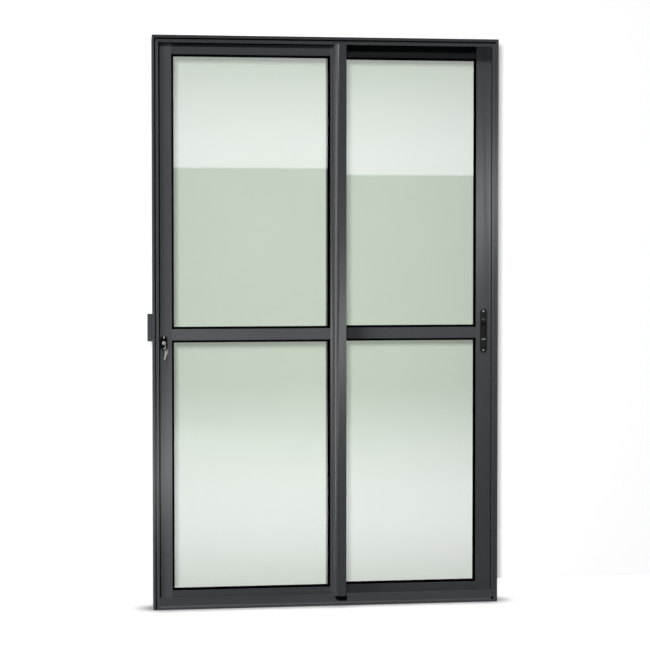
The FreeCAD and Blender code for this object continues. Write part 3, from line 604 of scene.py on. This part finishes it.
@dataclass
class Coated:
    """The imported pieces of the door, each with its finish and softened edges."""

    edge_mm: float = 0.5
    edge_steps: int = 2
    edge_angle: float = math.radians(35)
    merge_mm: float = 0.01
    sharp_slots: tuple[str, ...] = ("glass", "gasket", "nylon", "stop_rubber")

    def dress(self) -> None:
        """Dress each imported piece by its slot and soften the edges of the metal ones."""
        for row in frame["record"]["subparts"]:
            piece = frame["nodes"][row["node"]]
            dress(piece, SLOTS[row["material_slot"]])
            if row["material_slot"] not in self.sharp_slots:
                self.soften(piece)
            if row["material_slot"] == "glass":
                piece.visible_shadow = False
            LOG.info("%s has %s", row["node"], row["material_slot"])

    def soften(self, piece: Item) -> None:
        """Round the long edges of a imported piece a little.

        Args:
            piece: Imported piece; its own mesh stays as it is.
        """
        weld = piece.modifiers.new("joined triangles", "WELD")
        weld.merge_threshold = self.merge_mm * MM
        bevel = piece.modifiers.new("drawn edges", "BEVEL")
        bevel.width = self.edge_mm * MM
        bevel.segments = self.edge_steps
        bevel.limit_method = "ANGLE"
        bevel.angle_limit = self.edge_angle
        bevel.harden_normals = True


@dataclass
class Screws:
    """Small screws of the fittings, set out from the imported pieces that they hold."""

    plate_inset_mm: float = 6.2
    edge_inset_mm: float = 9.0
    head_mm: float = 3.2
    small_head_mm: float = 2.6
    rail_head_mm: float = 4.0
    web_mm: float = 640.0
    sill_screw_mm: tuple[float, float] = (33.0, 14.0)
    tree: Tree = field(default_factory=screw_tree)
    spots: dict[Body, Spots] = field(default_factory=spots_by_body)

    def build(self) -> None:
        """Set out the screws of each body and make one mesh of them."""
        for side in (-1, 1):
            self.on_face(Body.FRONT, "lock_plates", (0, side, 0), self.plate_inset_mm, self.head_mm)
            self.in_sill(side)
        self.on_face(Body.REAR, "flush_latch", (0, -1, 0), self.edge_inset_mm, self.head_mm)
        for body, node, side in ((Body.FRONT, "lock_face_plate", -1), (Body.REAR, "latch_face_plate", 1),
                                 (Body.FRAME, "lock_keeper", 1), (Body.FRAME, "latch_keeper", -1)):
            self.on_face(body, node, (side, 0, 0), self.edge_inset_mm, self.small_head_mm)
        self.in_edges(Body.FRONT, "front", "front_lock_stile", (-1, 0, 0))
        self.in_edges(Body.REAR, "rear", "rear_latch_stile", (1, 0, 0))
        for body in (Body.FRAME, Body.FRONT, Body.REAR):
            scratch = self.spots[body].carrier(body.value + "_screws", False)
            settle(grow(scratch, self.tree, Material=Finish.NICKEL.material()), body)

    def on_face(self, body: Body, node: str, axis: Point, inset_mm: float, head_mm: float) -> None:
        """Put a screw near each end of an upright plate.

        Args:
            body: Body that the plate rides on.
            node: Packed plate.
            axis: Direction in which the heads face.
            inset_mm: Distance of a screw from the plate's end.
            head_mm: Radius of a head.
        """
        low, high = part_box(node)
        seat = [(a + b) / 2 if turn == 0 else (b if turn > 0 else a)
                for a, b, turn in zip(low, high, axis)]
        for level in (low[2] + inset_mm * MM, high[2] - inset_mm * MM):
            self.spots[body].add((seat[0], seat[1], level), axis, head_mm * MM)

    def in_edges(self, body: Body, leaf: str, stile: str, axis: Point) -> None:
        """Put the long screws that hold the rails into a stile's outer edge.

        Args:
            body: Body that the leaf rides on.
            leaf: First word of the leaf's nodes.
            stile: Packed stile.
            axis: Direction in which the heads face.
        """
        low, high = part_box(stile)
        across = high[0] if axis[0] > 0 else low[0]
        depth = (low[1] + high[1]) / 2
        for rail in ("top", "mid", "bottom"):
            rail_low, rail_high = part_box(f"{leaf}_{rail}_rail")
            level = (rail_low[2] + rail_high[2]) / 2
            self.spots[body].add((across, depth, level), axis, self.rail_head_mm * MM)

    def in_sill(self, side: int) -> None:
        """Put the screws that hold a jamb to the sill's end into the jamb's web.

        Args:
            side: -1 for the left jamb, 1 for the right one.
        """
        depth, level = self.sill_screw_mm
        for y in (-depth, depth):
            point = (side * self.web_mm * MM, y * MM, level * MM)
            self.spots[Body.FRAME].add(point, (side, 0, 0), self.rail_head_mm * MM)


@dataclass
class PileSeals:
    """Woven weather pile on the jambs' lips and fins and on the hooks of the meeting stiles."""

    rows: int = 3
    width_mm: float = 4.8
    back_mm: float = 1.0
    end_mm: float = 60.0
    clear_mm: float = 0.6
    inset_mm: float = 4.5
    wall_mm: float = 2.0
    tree: Tree = field(default_factory=pile_tree)
    spots: dict[Body, Spots] = field(default_factory=spots_by_body)
    backs: dict[Body, list[tuple[Point, Point]]] = field(
        default_factory=lambda: {body: [] for body in Body})

    def build(self) -> None:
        """Lay a strip on each face that the leaves brush past and make one mesh for each body."""
        front_low, front_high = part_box("front_lock_stile")
        rear_low, rear_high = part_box("rear_latch_stile")
        left_low, left_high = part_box("frame_left_jamb")
        right_low, right_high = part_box("frame_right_jamb")
        wall, inset = self.wall_mm * MM, self.inset_mm * MM
        left_lip, right_lip = left_high[0] - inset, right_low[0] + inset
        self.strip(Body.FRAME, left_lip, left_low[1] + wall, front_low[1])
        self.strip(Body.FRAME, left_lip - 2 * inset, -wall / 2, front_high[1])
        self.strip(Body.FRAME, right_lip + 2 * inset, wall / 2, rear_low[1])
        self.strip(Body.FRAME, right_lip, right_high[1] - wall, rear_high[1])
        hook_low, hook_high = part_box("front_interlock")
        other_low, other_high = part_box("rear_interlock")
        latch_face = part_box("flush_latch")[0][1]
        self.strip(Body.FRONT, hook_low[0] + inset, hook_high[1], latch_face)
        self.strip(Body.REAR, other_high[0] - inset, other_low[1], front_high[1])
        for body in (Body.FRAME, Body.FRONT, Body.REAR):
            self.make(body)

    def strip(self, body: Body, across: float, seat: float, reach: float) -> None:
        """Note one upright strip: a woven backing and rows of fibre.

        Args:
            body: Body that it rides on.
            across: X of the strip's middle.
            seat: Y of the face that carries it.
            reach: Y of the face that it brushes.
        """
        side = 1.0 if reach > seat else -1.0
        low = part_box("front_interlock")[0][2] + self.end_mm * MM
        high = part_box("front_interlock")[1][2] - self.end_mm * MM
        length = abs(reach - seat) - (self.back_mm + self.clear_mm) * MM
        root = seat + side * self.back_mm * MM
        pitch = self.width_mm * MM / self.rows
        for row in range(self.rows):
            x = across + (row - (self.rows - 1) / 2) * pitch
            for level in (low, high):
                self.spots[body].add((x, root, level), (0, side, 0), length)
        half = self.width_mm * MM / 2
        near, far = sorted((seat, root))
        self.backs[body].append(((across - half, near, low), (across + half, far, high)))

    def make(self, body: Body) -> None:
        """Grow the fibres of one body's strips and add their backings.

        Args:
            body: Body that the strips ride on.
        """
        scratch = self.spots[body].carrier(body.value + "_pile", True)
        piece = grow(scratch, self.tree, Material=Finish.PILE.material())
        shape = bmesh.new()
        shape.from_mesh(piece.data)
        for low, high in self.backs[body]:
            add_block(shape, low, high)
        shape.to_mesh(piece.data)
        shape.free()
        settle(piece, body)


@dataclass
class PaintedShadeRubbers:
    """Black rubber of the frame, all three painted shade: the groove's bead, the fins behind the lips,
    the drain's grommet.
    """

    strip_mm: float = 8.7
    groove_mm: float = 5.0
    depth_mm: float = 4.0
    bead_width_mm: float = 4.6
    bead_mm: float = 1.0
    bead_start_mm: float = 2.0
    foot_mm: float = 0.4
    head_ratio: float = 28 / 24
    wall_mm: float = 2.0
    fin_mm: float = 1.4
    fin_base_mm: float = 1.8
    fin_reach_mm: float = 4.0
    fin_foot_mm: float = 46.0
    fin_end_mm: float = 18.0
    right_reach_mm: float = 2.4
    drain_mm: Point = (626.0, -46.0, 14.0)
    drain_radius_mm: float = 3.9
    drain_sides: int = 24
    drain_share: float = 0.9
    drain_clear_mm: float = 0.1
    rim_share: float = 0.22
    cup_share: float = 0.6

    def build(self) -> None:
        """Make the bead, the fins and the grommet."""
        self.bead()
        self.fins()
        self.grommet()

    def finish(self, name: str, shape: Shape, finish: Finish = Finish.GASKET) -> None:
        """Turn a shape into a rubber piece of the frame.

        Args:
            name: Name of the piece.
            shape: Its closed shape.
            finish: Kind of rubber.
        """
        piece = from_bmesh(name, shape)
        dress(piece, finish)
        settle(piece, Body.FRAME)

    def bead(self) -> None:
        """Make the black bead in the left jamb's and the head's groove, with a foot over the sill's end:
        painted shade that darkens the groove and carries its dark line over the sill's end, glossy so
        that the streak's sheen still shows on it.
        """
        low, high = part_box("frame_head")
        floor = low[1] + self.depth_mm * MM
        inset = (self.strip_mm + self.groove_mm / 2) * MM
        half = self.bead_width_mm * MM / 2
        crown = high[2] - inset * self.head_ratio
        across = low[0] + inset
        front = floor - self.bead_mm * MM
        start = self.bead_start_mm * MM
        shape = bmesh.new()
        add_block(shape, (across - half, front, start), (across + half, floor, crown + half))
        add_block(shape, (across + half, front, crown - half), (high[0] - inset, floor, crown + half))
        sill_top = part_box("frame_sill")[1][2]
        proud = low[1] - self.foot_mm * MM
        add_block(shape, (across - half, proud, start), (across + half, low[1], sill_top))
        self.finish("groove_bead", shape, Finish.BEAD)

    def fins(self) -> None:
        """Make the fins that close the gap between the front lips and the front leaf; where they stand
        out past the lips' edges, their black is painted shade, the dark line of the lips' shade.
        """
        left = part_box("frame_left_jamb")[1][0]
        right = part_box("frame_right_jamb")[0][0]
        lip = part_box("frame_head")[0][2]
        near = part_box("frame_head")[0][1] + self.wall_mm * MM
        far = near + self.fin_mm * MM
        foot, base, reach = self.fin_foot_mm * MM, self.fin_base_mm * MM, self.fin_reach_mm * MM
        shape = bmesh.new()
        add_block(shape, (left - base, near, foot), (left + reach, far, lip - reach))
        edge = right - self.right_reach_mm * MM
        add_block(shape, (edge, near, foot), (right + base, far, lip - reach))
        add_block(shape, (left - base, near, lip - reach), (self.fin_end_mm * MM, far, lip + base))
        self.finish("lip_fins", shape)

    def grommet(self) -> None:
        """Make the blind grommet in the drain hole of the right jamb; its black cup is painted shade,
        the dark inside of the hole.
        """
        x, y, z = (value * MM for value in self.drain_mm)
        radius, depth = self.drain_radius_mm * MM, self.wall_mm * MM
        shape = bmesh.new()
        made = bmesh.ops.create_cone(shape, cap_ends=True, segments=self.drain_sides,
                                     radius1=radius, radius2=radius, depth=depth)
        middle = y + depth / 2 + self.drain_clear_mm * MM
        for vertex in made["verts"]:
            across, up, out = vertex.co
            vertex.co = (x + across, middle + out * self.drain_share, z + up)
        front = min(shape.faces, key=lambda face: face.calc_center_median().y)
        bmesh.ops.inset_individual(shape, faces=[front], thickness=radius * self.rim_share,
                                   depth=-depth * self.cup_share)
        self.finish("drain_grommet", shape)


@dataclass
class LatchHighlightRidges:
    """Half-round steel ridges of the latch: the ledge below its recess and the trigger's edge. Their
    round tops catch the lamps, and their bright steel is painted highlight, the light lines along these
    edges.
    """

    ledge_mm: float = 982.5
    ledge_size_mm: tuple[float, float] = (2.6, 1.1)
    edge_drop_mm: float = 1.4
    edge_size_mm: tuple[float, float] = (1.2, 0.7)
    margin_mm: float = 1.2
    sides: int = 10

    def build(self) -> None:
        """Make both ridges."""
        self.ridge("latch_ledge", Body.REAR, self.ledge_mm * MM, self.ledge_size_mm)
        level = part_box("latch_trigger")[1][2] - self.edge_drop_mm * MM
        self.ridge("trigger_edge", Body.TRIGGER, level, self.edge_size_mm)

    def ridge(self, name: str, body: Body, level: float, size_mm: tuple[float, float]) -> None:
        """Make one ridge across the trigger's width on the latch's face.

        Args:
            name: Name of the piece.
            body: Body that it rides on.
            level: Height of its middle.
            size_mm: Half its height and how far it stands out.
        """
        low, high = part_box("latch_trigger")
        ends = (low[0] + self.margin_mm * MM, high[0] - self.margin_mm * MM)
        half, proud = (value * MM for value in size_mm)
        turns = [math.pi * step / self.sides for step in range(self.sides + 1)]
        arc = [(low[1] - proud * math.sin(turn), level + half * math.cos(turn)) for turn in turns]
        shape = bmesh.new()
        left, right = ([shape.verts.new((x, y, z)) for y, z in arc] for x in ends)
        shape.faces.new(left)
        shape.faces.new(right)
        for i in range(len(left)):
            j = (i + 1) % len(left)
            shape.faces.new((left[i], left[j], right[j], right[i]))
        piece = from_bmesh(name, shape)
        # The bright steel paints the highlight lines along the ledge and the trigger's edge.
        dress(piece, Finish.ZINC)
        settle(piece, body)


# Endings of the pieces that the lamps for the coat leave dark.
GLASS_AND_RUBBER = ("_glass", "_gaskets", "_fins", "_grommet")
UNLIT = (*GLASS_AND_RUBBER, "_bead")
# Endings of the pieces that lie in the shade of the head.
RECESSED = ("rear_top_rail", "_guides")
# Strength of the reflection card's light by the row of the picture that mirrors it.
CARD_LEVELS = {620: 1.6, 584: 2.6, 550: 4.5, 524: 5.4, 488: 5.2, 450: 3.5, 420: 2.0, 390: 0.5,
               383: 0.25, 168.6: 0.25, 167.4: 5.2, 140: 5.2, 100: 3.8, 68: 2.3, 50: 1.7}


def group(name: str, members: Iterable[Item]) -> Group:
    """Make a collection that a lamp or a card is linked to.

    Args:
        name: Name of the collection.
        members: Objects in it.

    Returns:
        The collection.
    """
    made = bpy.data.collections.new(name)
    for member in members:
        made.objects.link(member)
    return made


def nodes(name: str, *names: str) -> Group:
    """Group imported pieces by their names."""
    return group(name, [frame["nodes"][node] for node in names])


def pieces_without(*endings: str) -> list[Item]:
    """List the pieces whose names end in none of the given words."""
    return [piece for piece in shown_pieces() if not piece.name.endswith(endings)]


@dataclass(frozen=True)
class Lamp:
    """A soft lamp: its place, the point that it faces, its face's size, its watts and its turn."""

    name: str
    place: Point
    target: Point
    size: tuple[float, float]
    power: float
    turn: float = 0.0

    def hang(self, lit: Group, blockers: Optional[Group] = None) -> None:
        """Hang the lamp.

        Args:
            lit: Objects that it lights.
            blockers: Objects that throw its shadows; all do where none are given.
        """
        data = bpy.data.lights.new(self.name, "AREA")
        data.shape = "RECTANGLE"
        data.size, data.size_y = self.size
        data.energy = self.power
        made = bpy.data.objects.new(self.name, data)
        made.location = self.place
        made.rotation_mode = "QUATERNION"
        facing = (Vector(self.target) - Vector(self.place)).to_track_quat("-Z", "Y")
        made.rotation_quaternion = facing @ Quaternion((0, 0, 1), self.turn)
        made.light_linking.receiver_collection = lit
        if blockers is not None:
            made.light_linking.blocker_collection = blockers
        made.visible_camera = False
        bpy.context.scene.collection.objects.link(made)


@dataclass
class Lamps:
    """The lamps of the studio; those for the door leave the panes, the rubber and the wall alone."""

    stage: list[Item]
    key: Lamp = Lamp("key", (-2.4, -7.4, 9.0), (0, 0, 1.0), (1.5, 1.5), 860.0)
    pull_power: float = 344.0
    sill_power: float = 1890.0
    streak: Lamp = Lamp("streak", (0.37, -1.6, 1.015), (0.37, 0, 1.015), (2.5, 0.2), 9.7,
                        math.radians(39.5))
    stile_power: float = 12.0
    side: Lamp = Lamp("left_strip", (-4.4, -2.0, 1.35), (0, 0, 1.2), (2.2, 6.0), 200.0)
    rail_power: float = 480.0
    below_head: Lamp = Lamp("low_key", (-1.2, -6.5, 4.4), (0.3, 0, 2.05), (0.5, 0.5), 74.0)
    from_behind: Lamp = Lamp("rear_soft", (1.4, 5.0, 4.2), (0, 0, 1.0), (2.5, 2.5), 260.0)
    on_metal: Lamp = Lamp("metal_card", (-0.9, -3.2, 2.6), (-0.2, 0, 1.0), (2.4, 2.0), 110.0)
    on_stage: Lamp = Lamp("backdrop_lamp", (-1.453, -8.001, 1.664), (0, 0.5, 1.0), (0.3, 0.3), 540.0)
    pull_free: Group = field(
        default_factory=lambda: group("side_blockers", pieces_without("meeting_pull")))

    def build(self) -> None:
        """Hang all the lamps."""
        self.keys()
        self.streaks()
        self.sides()
        self.small_ones()

    def keys(self) -> None:
        """Hang the key light, with a power of its own for the rounded pull and for the sill."""
        flat = group("lit_flat_pieces", pieces_without(*UNLIT, "meeting_pull", "frame_sill"))
        self.key.hang(flat, self.pull_free)
        for name, power, node in (("pull_key", self.pull_power, "meeting_pull"),
                                  ("sill_key", self.sill_power, "frame_sill")):
            replace(self.key, name=name, power=power).hang(nodes("lit_" + node, node))

    def streaks(self) -> None:
        """Hang the narrow slanting strip whose sheen crosses the stiles, past the right jamb's lip."""
        stiles = ("front_lock_stile", "rear_latch_stile")
        dull = ("_mid_rail", "_bottom_rail", "frame_sill", "lock_plates")
        others = group("streaked_pieces", pieces_without(*GLASS_AND_RUBBER, *RECESSED, *stiles, *dull))
        lip_free = group("streak_blockers", pieces_without("frame_right_jamb"))
        frame["nodes"]["frame_right_jamb"].visible_glossy = False
        self.streak.hang(others, lip_free)
        bright = replace(self.streak, name="stile_streak", power=self.stile_power)
        bright.hang(nodes("streaked_stiles", *stiles), lip_free)

    def sides(self) -> None:
        """Hang the tall strip at the left that rounds the pull, and the same for the mid rails."""
        shaded = ("front_top_rail", "rear_latch_stile", "rear_mid_rail", "frame_sill", "frame_head",
                  "lock_plates")
        self.side.hang(group("lit_open_pieces", pieces_without(*UNLIT, *RECESSED, *shaded)))
        for leaf, blockers in (("front", None), ("rear", self.pull_free)):
            rail = nodes(f"lit_{leaf}_mid_rail", f"{leaf}_mid_rail")
            replace(self.side, name=leaf + "_rail_side", power=self.rail_power).hang(rail, blockers)

    def small_ones(self) -> None:
        """Hang the lamps below the head, behind the door, for the bright metal and for the stage."""
        coated = pieces_without(*UNLIT)
        rows = frame["record"]["subparts"]
        bright = [row["node"] for row in rows if row["material_slot"] == "bright_metal"]
        metal = [piece for piece in coated if piece.name in bright or piece.name.endswith("_screws")]
        self.below_head.hang(nodes("lit_rear_top_rail", "rear_top_rail"))
        self.from_behind.hang(group("lit_pieces", coated))
        self.on_metal.hang(group("bright_pieces", metal))
        self.on_stage.hang(group("lit_stage", self.stage))


def any_of(tree: Tree, *flags: Socket) -> Socket:
    """Join flags of the light path: 1 where any of them is.

    Args:
        tree: Node tree of the material or the world.
        flags: Flags of 0 or 1.

    Returns:
        The highest of the flags.
    """
    joined = flags[0]
    for flag in flags[1:]:
        joined = add_node(tree, "ShaderNodeMath", {0: joined, 1: flag}, operation="MAXIMUM").outputs[0]
    return joined


@dataclass
class Studio:
    """White wall and floor, reflection card, room and the camera of the photograph."""

    eye: Point = (-1.253, -8.001, 1.364)
    yaw: float = math.radians(8.89)
    pitch: float = math.radians(-2.29)
    lens_mm: float = 121.0
    sight: float = 100.0
    wall_behind: float = 0.5
    half_span: float = 14.0
    paper: str = "#ececec"
    floor_glow: float = 0.88
    wall_glow: float = 0.42
    contact: float = 0.09
    contact_power: float = 2.8
    card_ahead: float = 3.0
    card_sides: tuple[float, float] = (-2.5, 4.5)
    card_ends: tuple[float, float] = (-2.0, 4.0)
    card_split: float = 0.51
    card_colour: Colour = (1.1, 1.05, 1.19, 1.0)
    step_row: float = 168.0
    step_rows: float = 6.0
    room_glow: float = 0.04
    room_edge: float = 0.1
    room_colour: Colour = (1.0, 1.0, 1.0, 1.0)

    def build(self) -> None:
        """Make the camera, the stage, the lamps, the card and the room."""
        self.camera()
        Lamps(self.stage()).build()
        self.reflection_card()
        self.room()

    def camera(self) -> None:
        """Place the camera that was fitted to the photograph's edges."""
        data = bpy.data.cameras.new("photo_camera")
        data.sensor_width = SENSOR_MM
        data.lens = self.lens_mm
        data.clip_end = self.sight
        made = bpy.data.objects.new("photo_camera", data)
        made.location = self.eye
        made.rotation_euler = (math.pi / 2 + self.pitch, 0.0, -self.yaw)
        bpy.context.scene.collection.objects.link(made)
        bpy.context.scene.camera = made

    def stage(self) -> list[Item]:
        """Make the floor and the one-sided white wall behind the door.

        Returns:
            The wall and the floor; neither shades the door nor lights it.
        """
        span, back = self.half_span, self.wall_behind
        ground = [(-span, -span, 0), (span, -span, 0), (span, span, 0), (-span, span, 0)]
        upright = [(-span, back, 0), (span, back, 0), (span, back, span), (-span, back, span)]
        floor = self.sheet("floor", ground, self.floor_glow, self.contact)
        wall = self.sheet("backdrop", upright, self.wall_glow, 0.0)
        floor.visible_glossy = False
        for made in (wall, floor):
            made.visible_shadow = False
            made.visible_diffuse = False
        return [wall, floor]

    def sheet(self, name: str, corners: list[Point], glow: float, contact: float) -> Item:
        """Make one plain white sheet that shows only from its front.

        Args:
            name: Name of the sheet.
            corners: Corners, anticlockwise from the front.
            glow: Light that it adds for the eye alone.
            contact: Reach of the soft shade round what stands on it, 0 for none.

        Returns:
            The sheet.
        """
        mesh = bpy.data.meshes.new(name)
        mesh.from_pydata(corners, [], [tuple(range(len(corners)))])
        made = mesh_object(name, mesh)
        paint, tree = new_material(name + "_white")
        path = add_node(tree, "ShaderNodeLightPath").outputs
        seen = any_of(tree, path["Is Camera Ray"], path["Is Transmission Ray"], path["Is Glossy Ray"])
        if contact:
            air = add_node(tree, "ShaderNodeAmbientOcclusion", {"Distance": contact}).outputs["AO"]
            power = {0: air, 1: self.contact_power}
            deep = add_node(tree, "ShaderNodeMath", power, operation="POWER").outputs[0]
            seen = add_node(tree, "ShaderNodeMath", {0: seen, 1: deep}, operation="MULTIPLY").outputs[0]
        glowing = add_node(tree, "ShaderNodeMath", {0: seen, 1: glow}, operation="MULTIPLY").outputs[0]
        matt = add_node(tree, "ShaderNodeBsdfDiffuse", {"Color": linear(self.paper)}).outputs[0]
        light = add_node(tree, "ShaderNodeEmission", {"Strength": glowing}).outputs[0]
        both = add_node(tree, "ShaderNodeAddShader", {0: matt, 1: light}).outputs[0]
        behind = add_node(tree, "ShaderNodeNewGeometry").outputs["Backfacing"]
        clear = add_node(tree, "ShaderNodeBsdfTransparent").outputs[0]
        mixed = add_node(tree, "ShaderNodeMixShader", {0: behind, 1: both, 2: clear}).outputs[0]
        add_node(tree, "ShaderNodeOutputMaterial", {"Surface": mixed})
        mesh.materials.append(paint)
        made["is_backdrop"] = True
        return made

    def reflection_card(self) -> None:
        """Stand a card with soft bright bands before the door, which only the panes mirror."""
        ahead = -self.card_ahead
        (left, right), (low, high) = self.card_sides, self.card_ends
        corners = [(left, ahead, low), (left, ahead, high), (right, ahead, high), (right, ahead, low)]
        mesh = bpy.data.meshes.new("reflection_card")
        mesh.from_pydata(corners, [], [(0, 1, 2, 3)])
        card = mesh_object("reflection_card", mesh)
        paint, tree = new_material("banded_light")
        inputs = {"Color": self.card_colour, "Strength": self.bands(tree)}
        light = add_node(tree, "ShaderNodeEmission", inputs).outputs[0]
        add_node(tree, "ShaderNodeOutputMaterial", {"Surface": light})
        mesh.materials.append(paint)
        panes = [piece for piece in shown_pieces() if piece.name.endswith("_glass")]
        card.light_linking.receiver_collection = group("mirroring_panes", panes)
        for ray in ("camera", "diffuse", "transmission", "volume_scatter", "shadow"):
            setattr(card, "visible_" + ray, False)
        card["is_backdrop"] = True

    def card_height(self, row: float) -> float:
        """Find the card's height that a pane mirrors into a row of the picture.

        Args:
            row: Row of the 650-pixel picture, from its top.

        Returns:
            Height above the floor.
        """
        angle = math.atan((PICTURE / 2 - row) / (PICTURE * self.lens_mm / SENSOR_MM)) + self.pitch
        return self.eye[2] + (self.card_ahead - self.eye[1]) * math.tan(angle)

    def bands(self, tree: Tree) -> Socket:
        """Lay the bright bands over the card's height.

        Args:
            tree: Node tree of the card.

        Returns:
            Strength of the light.
        """
        peak = max(CARD_LEVELS.values())
        heights = [self.card_height(row) for row in CARD_LEVELS]
        low, high = heights[0], heights[-1]
        place = add_node(tree, "ShaderNodeTexCoord").outputs["Object"]
        parts = add_node(tree, "ShaderNodeSeparateXYZ", {0: place}).outputs
        inputs = {0: parts["X"], 1: self.card_split}
        beyond = add_node(tree, "ShaderNodeMath", inputs, operation="GREATER_THAN").outputs[0]
        drop = self.card_height(self.step_row) - self.card_height(self.step_row + self.step_rows)
        inputs = {0: beyond, 1: drop, 2: parts["Z"]}
        raised = add_node(tree, "ShaderNodeMath", inputs, operation="MULTIPLY_ADD").outputs[0]
        inputs = {"Value": raised, "From Min": low, "From Max": high}
        share = add_node(tree, "ShaderNodeMapRange", inputs).outputs["Result"]
        ramp = add_node(tree, "ShaderNodeValToRGB", {"Fac": share})
        stops = ramp.color_ramp.elements
        while len(stops) < len(CARD_LEVELS):
            stops.new(1.0)
        for stop, height, level in zip(stops, heights, CARD_LEVELS.values()):
            stop.position = (height - low) / (high - low)
            stop.color = (level / peak,) * 3 + (1.0,)
        inputs = {0: ramp.outputs[0], 1: peak}
        return add_node(tree, "ShaderNodeMath", inputs, operation="MULTIPLY").outputs[0]

    def room(self) -> None:
        """Make the room: white to the eye and a faint even glow for everything else."""
        made = bpy.data.worlds.new("studio_room")
        made.use_nodes = True
        tree = made.node_tree
        tree.nodes.clear()
        path = add_node(tree, "ShaderNodeLightPath").outputs
        inputs = {"Color": self.room_colour, "Strength": self.room_glow}
        even = add_node(tree, "ShaderNodeBackground", inputs).outputs[0]
        inputs = {"Color": self.room_colour, "Strength": 1.0}
        white = add_node(tree, "ShaderNodeBackground", inputs).outputs[0]
        heading = add_node(tree, "ShaderNodeTexCoord").outputs["Generated"]
        depth = add_node(tree, "ShaderNodeSeparateXYZ", {0: heading}).outputs["Y"]
        inputs = {"Value": depth, "From Min": -self.room_edge, "From Max": self.room_edge}
        rear = add_node(tree, "ShaderNodeMapRange", inputs).outputs["Result"]
        inputs = {0: path["Is Glossy Ray"], 1: rear}
        mirrored = add_node(tree, "ShaderNodeMath", inputs, operation="MULTIPLY").outputs[0]
        seen = any_of(tree, path["Is Camera Ray"], path["Is Transmission Ray"], mirrored)
        shown = add_node(tree, "ShaderNodeMixShader", {0: seen, 1: even, 2: white}).outputs[0]
        add_node(tree, "ShaderNodeOutputWorld", {"Surface": shown})
        bpy.context.scene.world = made
        bpy.context.scene.view_settings.view_transform = "Standard"


def main() -> None:
    """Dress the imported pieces, add the small ones and set up the studio."""
    logging.basicConfig(level=logging.INFO, format="%(name)s: %(message)s")
    Coated().dress()
    Screws().build()
    PileSeals().build()
    PaintedShadeRubbers().build()
    LatchHighlightRidges().build()
    Studio().build()


if __name__ == "__main__":
    main()
